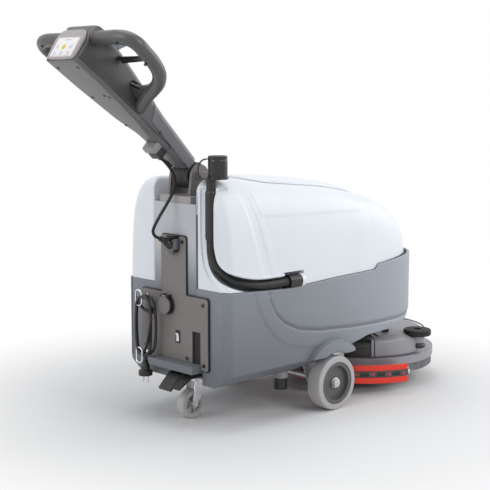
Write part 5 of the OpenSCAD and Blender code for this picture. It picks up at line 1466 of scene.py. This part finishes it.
class SCRUBBER_OT_cap(Maker):
    """Drain cap with shallow ribs, its tether strap and hinge lug"""
    bl_idname = "scrubber.cap"
    bl_label = "Drain cap"

    def execute(self, context):
        n = sizes().cap_ribs
        profile = rounded([(0, 655.2), (24, 655.2, 1.5), (24.6, 662, 1), (25, 664, 1), (25, 700, 1),
            (24.2, 703, 1), (25, 706, 1), (25, 712, 2.4), (21, 712.2, 1.5), (19.5, 710.4, 1), (0, 710.2)], 1, 4,
            closed=False)
        halfway = (profile[:-1] + profile[1:]) / 2
        fine = np.concatenate([np.concatenate([profile[:-1], halfway], 1).reshape(-1, 2), profile[-1:]])
        teeth = lambda a: smooth((np.cos(a * n) - 0.35) / 0.3)
        ribs = lambda r, h, a: -0.9 * teeth(a) * (r > 24.9) * ((h > 666) & (h < 698))
        build("drain_cap_shell", [turned(fine, (*CAP, 0), "z", 216, ribs)], "black_gloss", "drain_cap",
              ("drain_cap",), sharp=35)
        ring = rounded([(24.4, 652.6), (27.4, 652.6, 1), (27.4, 659, 1), (25.4, 659), (25.4, 655), (24.4, 655)],
            0.6, 3)
        lug = rounded([(22, -22), (46, -20), (52, 0), (46, 20), (22, 22)], 7, 5)
        hoop = turned(ring, (*CAP, 0), "z", 72)[0]
        build("cap_tether", [(hoop, True, True), slab(lug, 652.4, 657, 1.6, beside_cap)], "black_gloss",
              "machine", sharp=40)
        arc = [(42, 0, 656), (48, 0, 663), (50, 0, 676), (48, 0, 689), (41, 0, 699), (32, 0, 703.2),
            (23.8, 0, 703.5)]
        line = even(spline(beside_cap(np.array(arc, float)), 6), 2)
        strap = tube(line, 4.6, 20, (math.cos(CAP_TURN), math.sin(CAP_TURN), 0.02), 0.42)
        piece = build("cap_strap", [strap], "black_rubber", None, sharp=60)
        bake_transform(piece)
        return {"FINISHED"}


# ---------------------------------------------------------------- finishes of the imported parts

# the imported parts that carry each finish; those that new pieces replace have theirs too
CAD_FINISH = {part: finish for finish, parts in {
    "white_tank": "recovery_tank tank_lid",
    "grey_tank": "base_tank",
    "warm_grey_panel": "rear_panel column_brackets inlet_flap",
    "pivot_grey": "pivot_plate",
    "black_rubber": "gaskets bumper_right bumper_left control_cable",
    "hose_black": "drain_hose",
    "cord_black": "lead_hank lead_tail",
    "black_gloss": "panel_screws hose_couplings release_lever drain_cap filter_bowl",
    "black_plastic": "vacuum_motor inlet_socket cable_fittings cable_box brush_pedal squeegee_pedal lead_plug",
    "battery": "battery_pack",
    "chassis": "chassis_frame",
    "zinc_steel": "drive_axle pedal_shaft caster_plate hinge_pin handle_pins caster_fork deck_pins",
    "painted_steel": "squeegee_frame",
    "chrome_wire": "cord_hooks",
    "dark_grey_plastic": "handle_body loop_right loop_left",
    "mid_grey_plastic": "column_cover",
    "light_grey_plastic": "filter_head rear_cover console_face",
    "key_panel": "key_overlay",
    "switch_white": "hose_ring rocker_switch",
    "paddle_blue_grey": "trigger_right trigger_left",
    "grey_tyre": "tyre_right tyre_left",
    "hub_plastic": "hub_right hub_left",
    "caster_plastic": "caster_wheel caster_hub",
    "cast_metal": "deck_cover brush_motor",
    "skirt": "splash_skirt",
    "brush": "disc_brush",
    "red_rubber": "squeegee_blades",
}.items() for part in parts.split()}


class SCRUBBER_OT_finishes(Maker):
    """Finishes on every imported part"""
    bl_idname = "scrubber.finishes"
    bl_label = "Finishes"

    def execute(self, context):
        missing = sorted(set(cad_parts) - set(CAD_FINISH))
        if missing:
            raise RuntimeError(f"no finish for {missing}")
        for name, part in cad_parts.items():
            for held in part.material_slots:
                held.link = "OBJECT"
                held.material = finish_of(CAD_FINISH[name])
        return {"FINISHED"}


# ---------------------------------------------------------------- panel and start

MAKERS = [SCRUBBER_OT_stage, SCRUBBER_OT_leads, SCRUBBER_OT_finishes, SCRUBBER_OT_upper_tank,
          SCRUBBER_OT_lower_tank, SCRUBBER_OT_panel, SCRUBBER_OT_hose, SCRUBBER_OT_handle,
          SCRUBBER_OT_loops, SCRUBBER_OT_deck, SCRUBBER_OT_squeegee, SCRUBBER_OT_cap]


class SCRUBBER_PT_panel(bpy.types.Panel):
    """Sizes, colours and operators"""
    bl_label = "Floor scrubber"
    bl_idname = "SCRUBBER_PT_panel"
    bl_space_type = "VIEW_3D"
    bl_region_type = "UI"
    bl_category = "Scrubber"

    def draw(self, context):
        for group in (context.scene.scrubber_sizes, context.scene.scrubber_tones):
            column = self.layout.column(align=True)
            for key in type(group).__annotations__:
                column.prop(group, key)
        for maker in MAKERS:
            self.layout.operator(maker.bl_idname)


CLASSES = [ScrubberSizes, ScrubberTones, *MAKERS, SCRUBBER_PT_panel]


def register():
    for c in CLASSES:
        bpy.utils.register_class(c)
    bpy.types.Scene.scrubber_sizes = PointerProperty(type=ScrubberSizes)
    bpy.types.Scene.scrubber_tones = PointerProperty(type=ScrubberTones)


def unregister():
    del bpy.types.Scene.scrubber_tones
    del bpy.types.Scene.scrubber_sizes
    for c in reversed(CLASSES):
        bpy.utils.unregister_class(c)


def main():
    """Makes every piece."""
    register()
    for maker in MAKERS:
        group, call = maker.bl_idname.split(".")
        result = getattr(getattr(bpy.ops, group), call)()
        if result != {"FINISHED"}:
            raise RuntimeError(f"{maker.bl_label} did not finish")


if __name__ == "__main__":
    main()
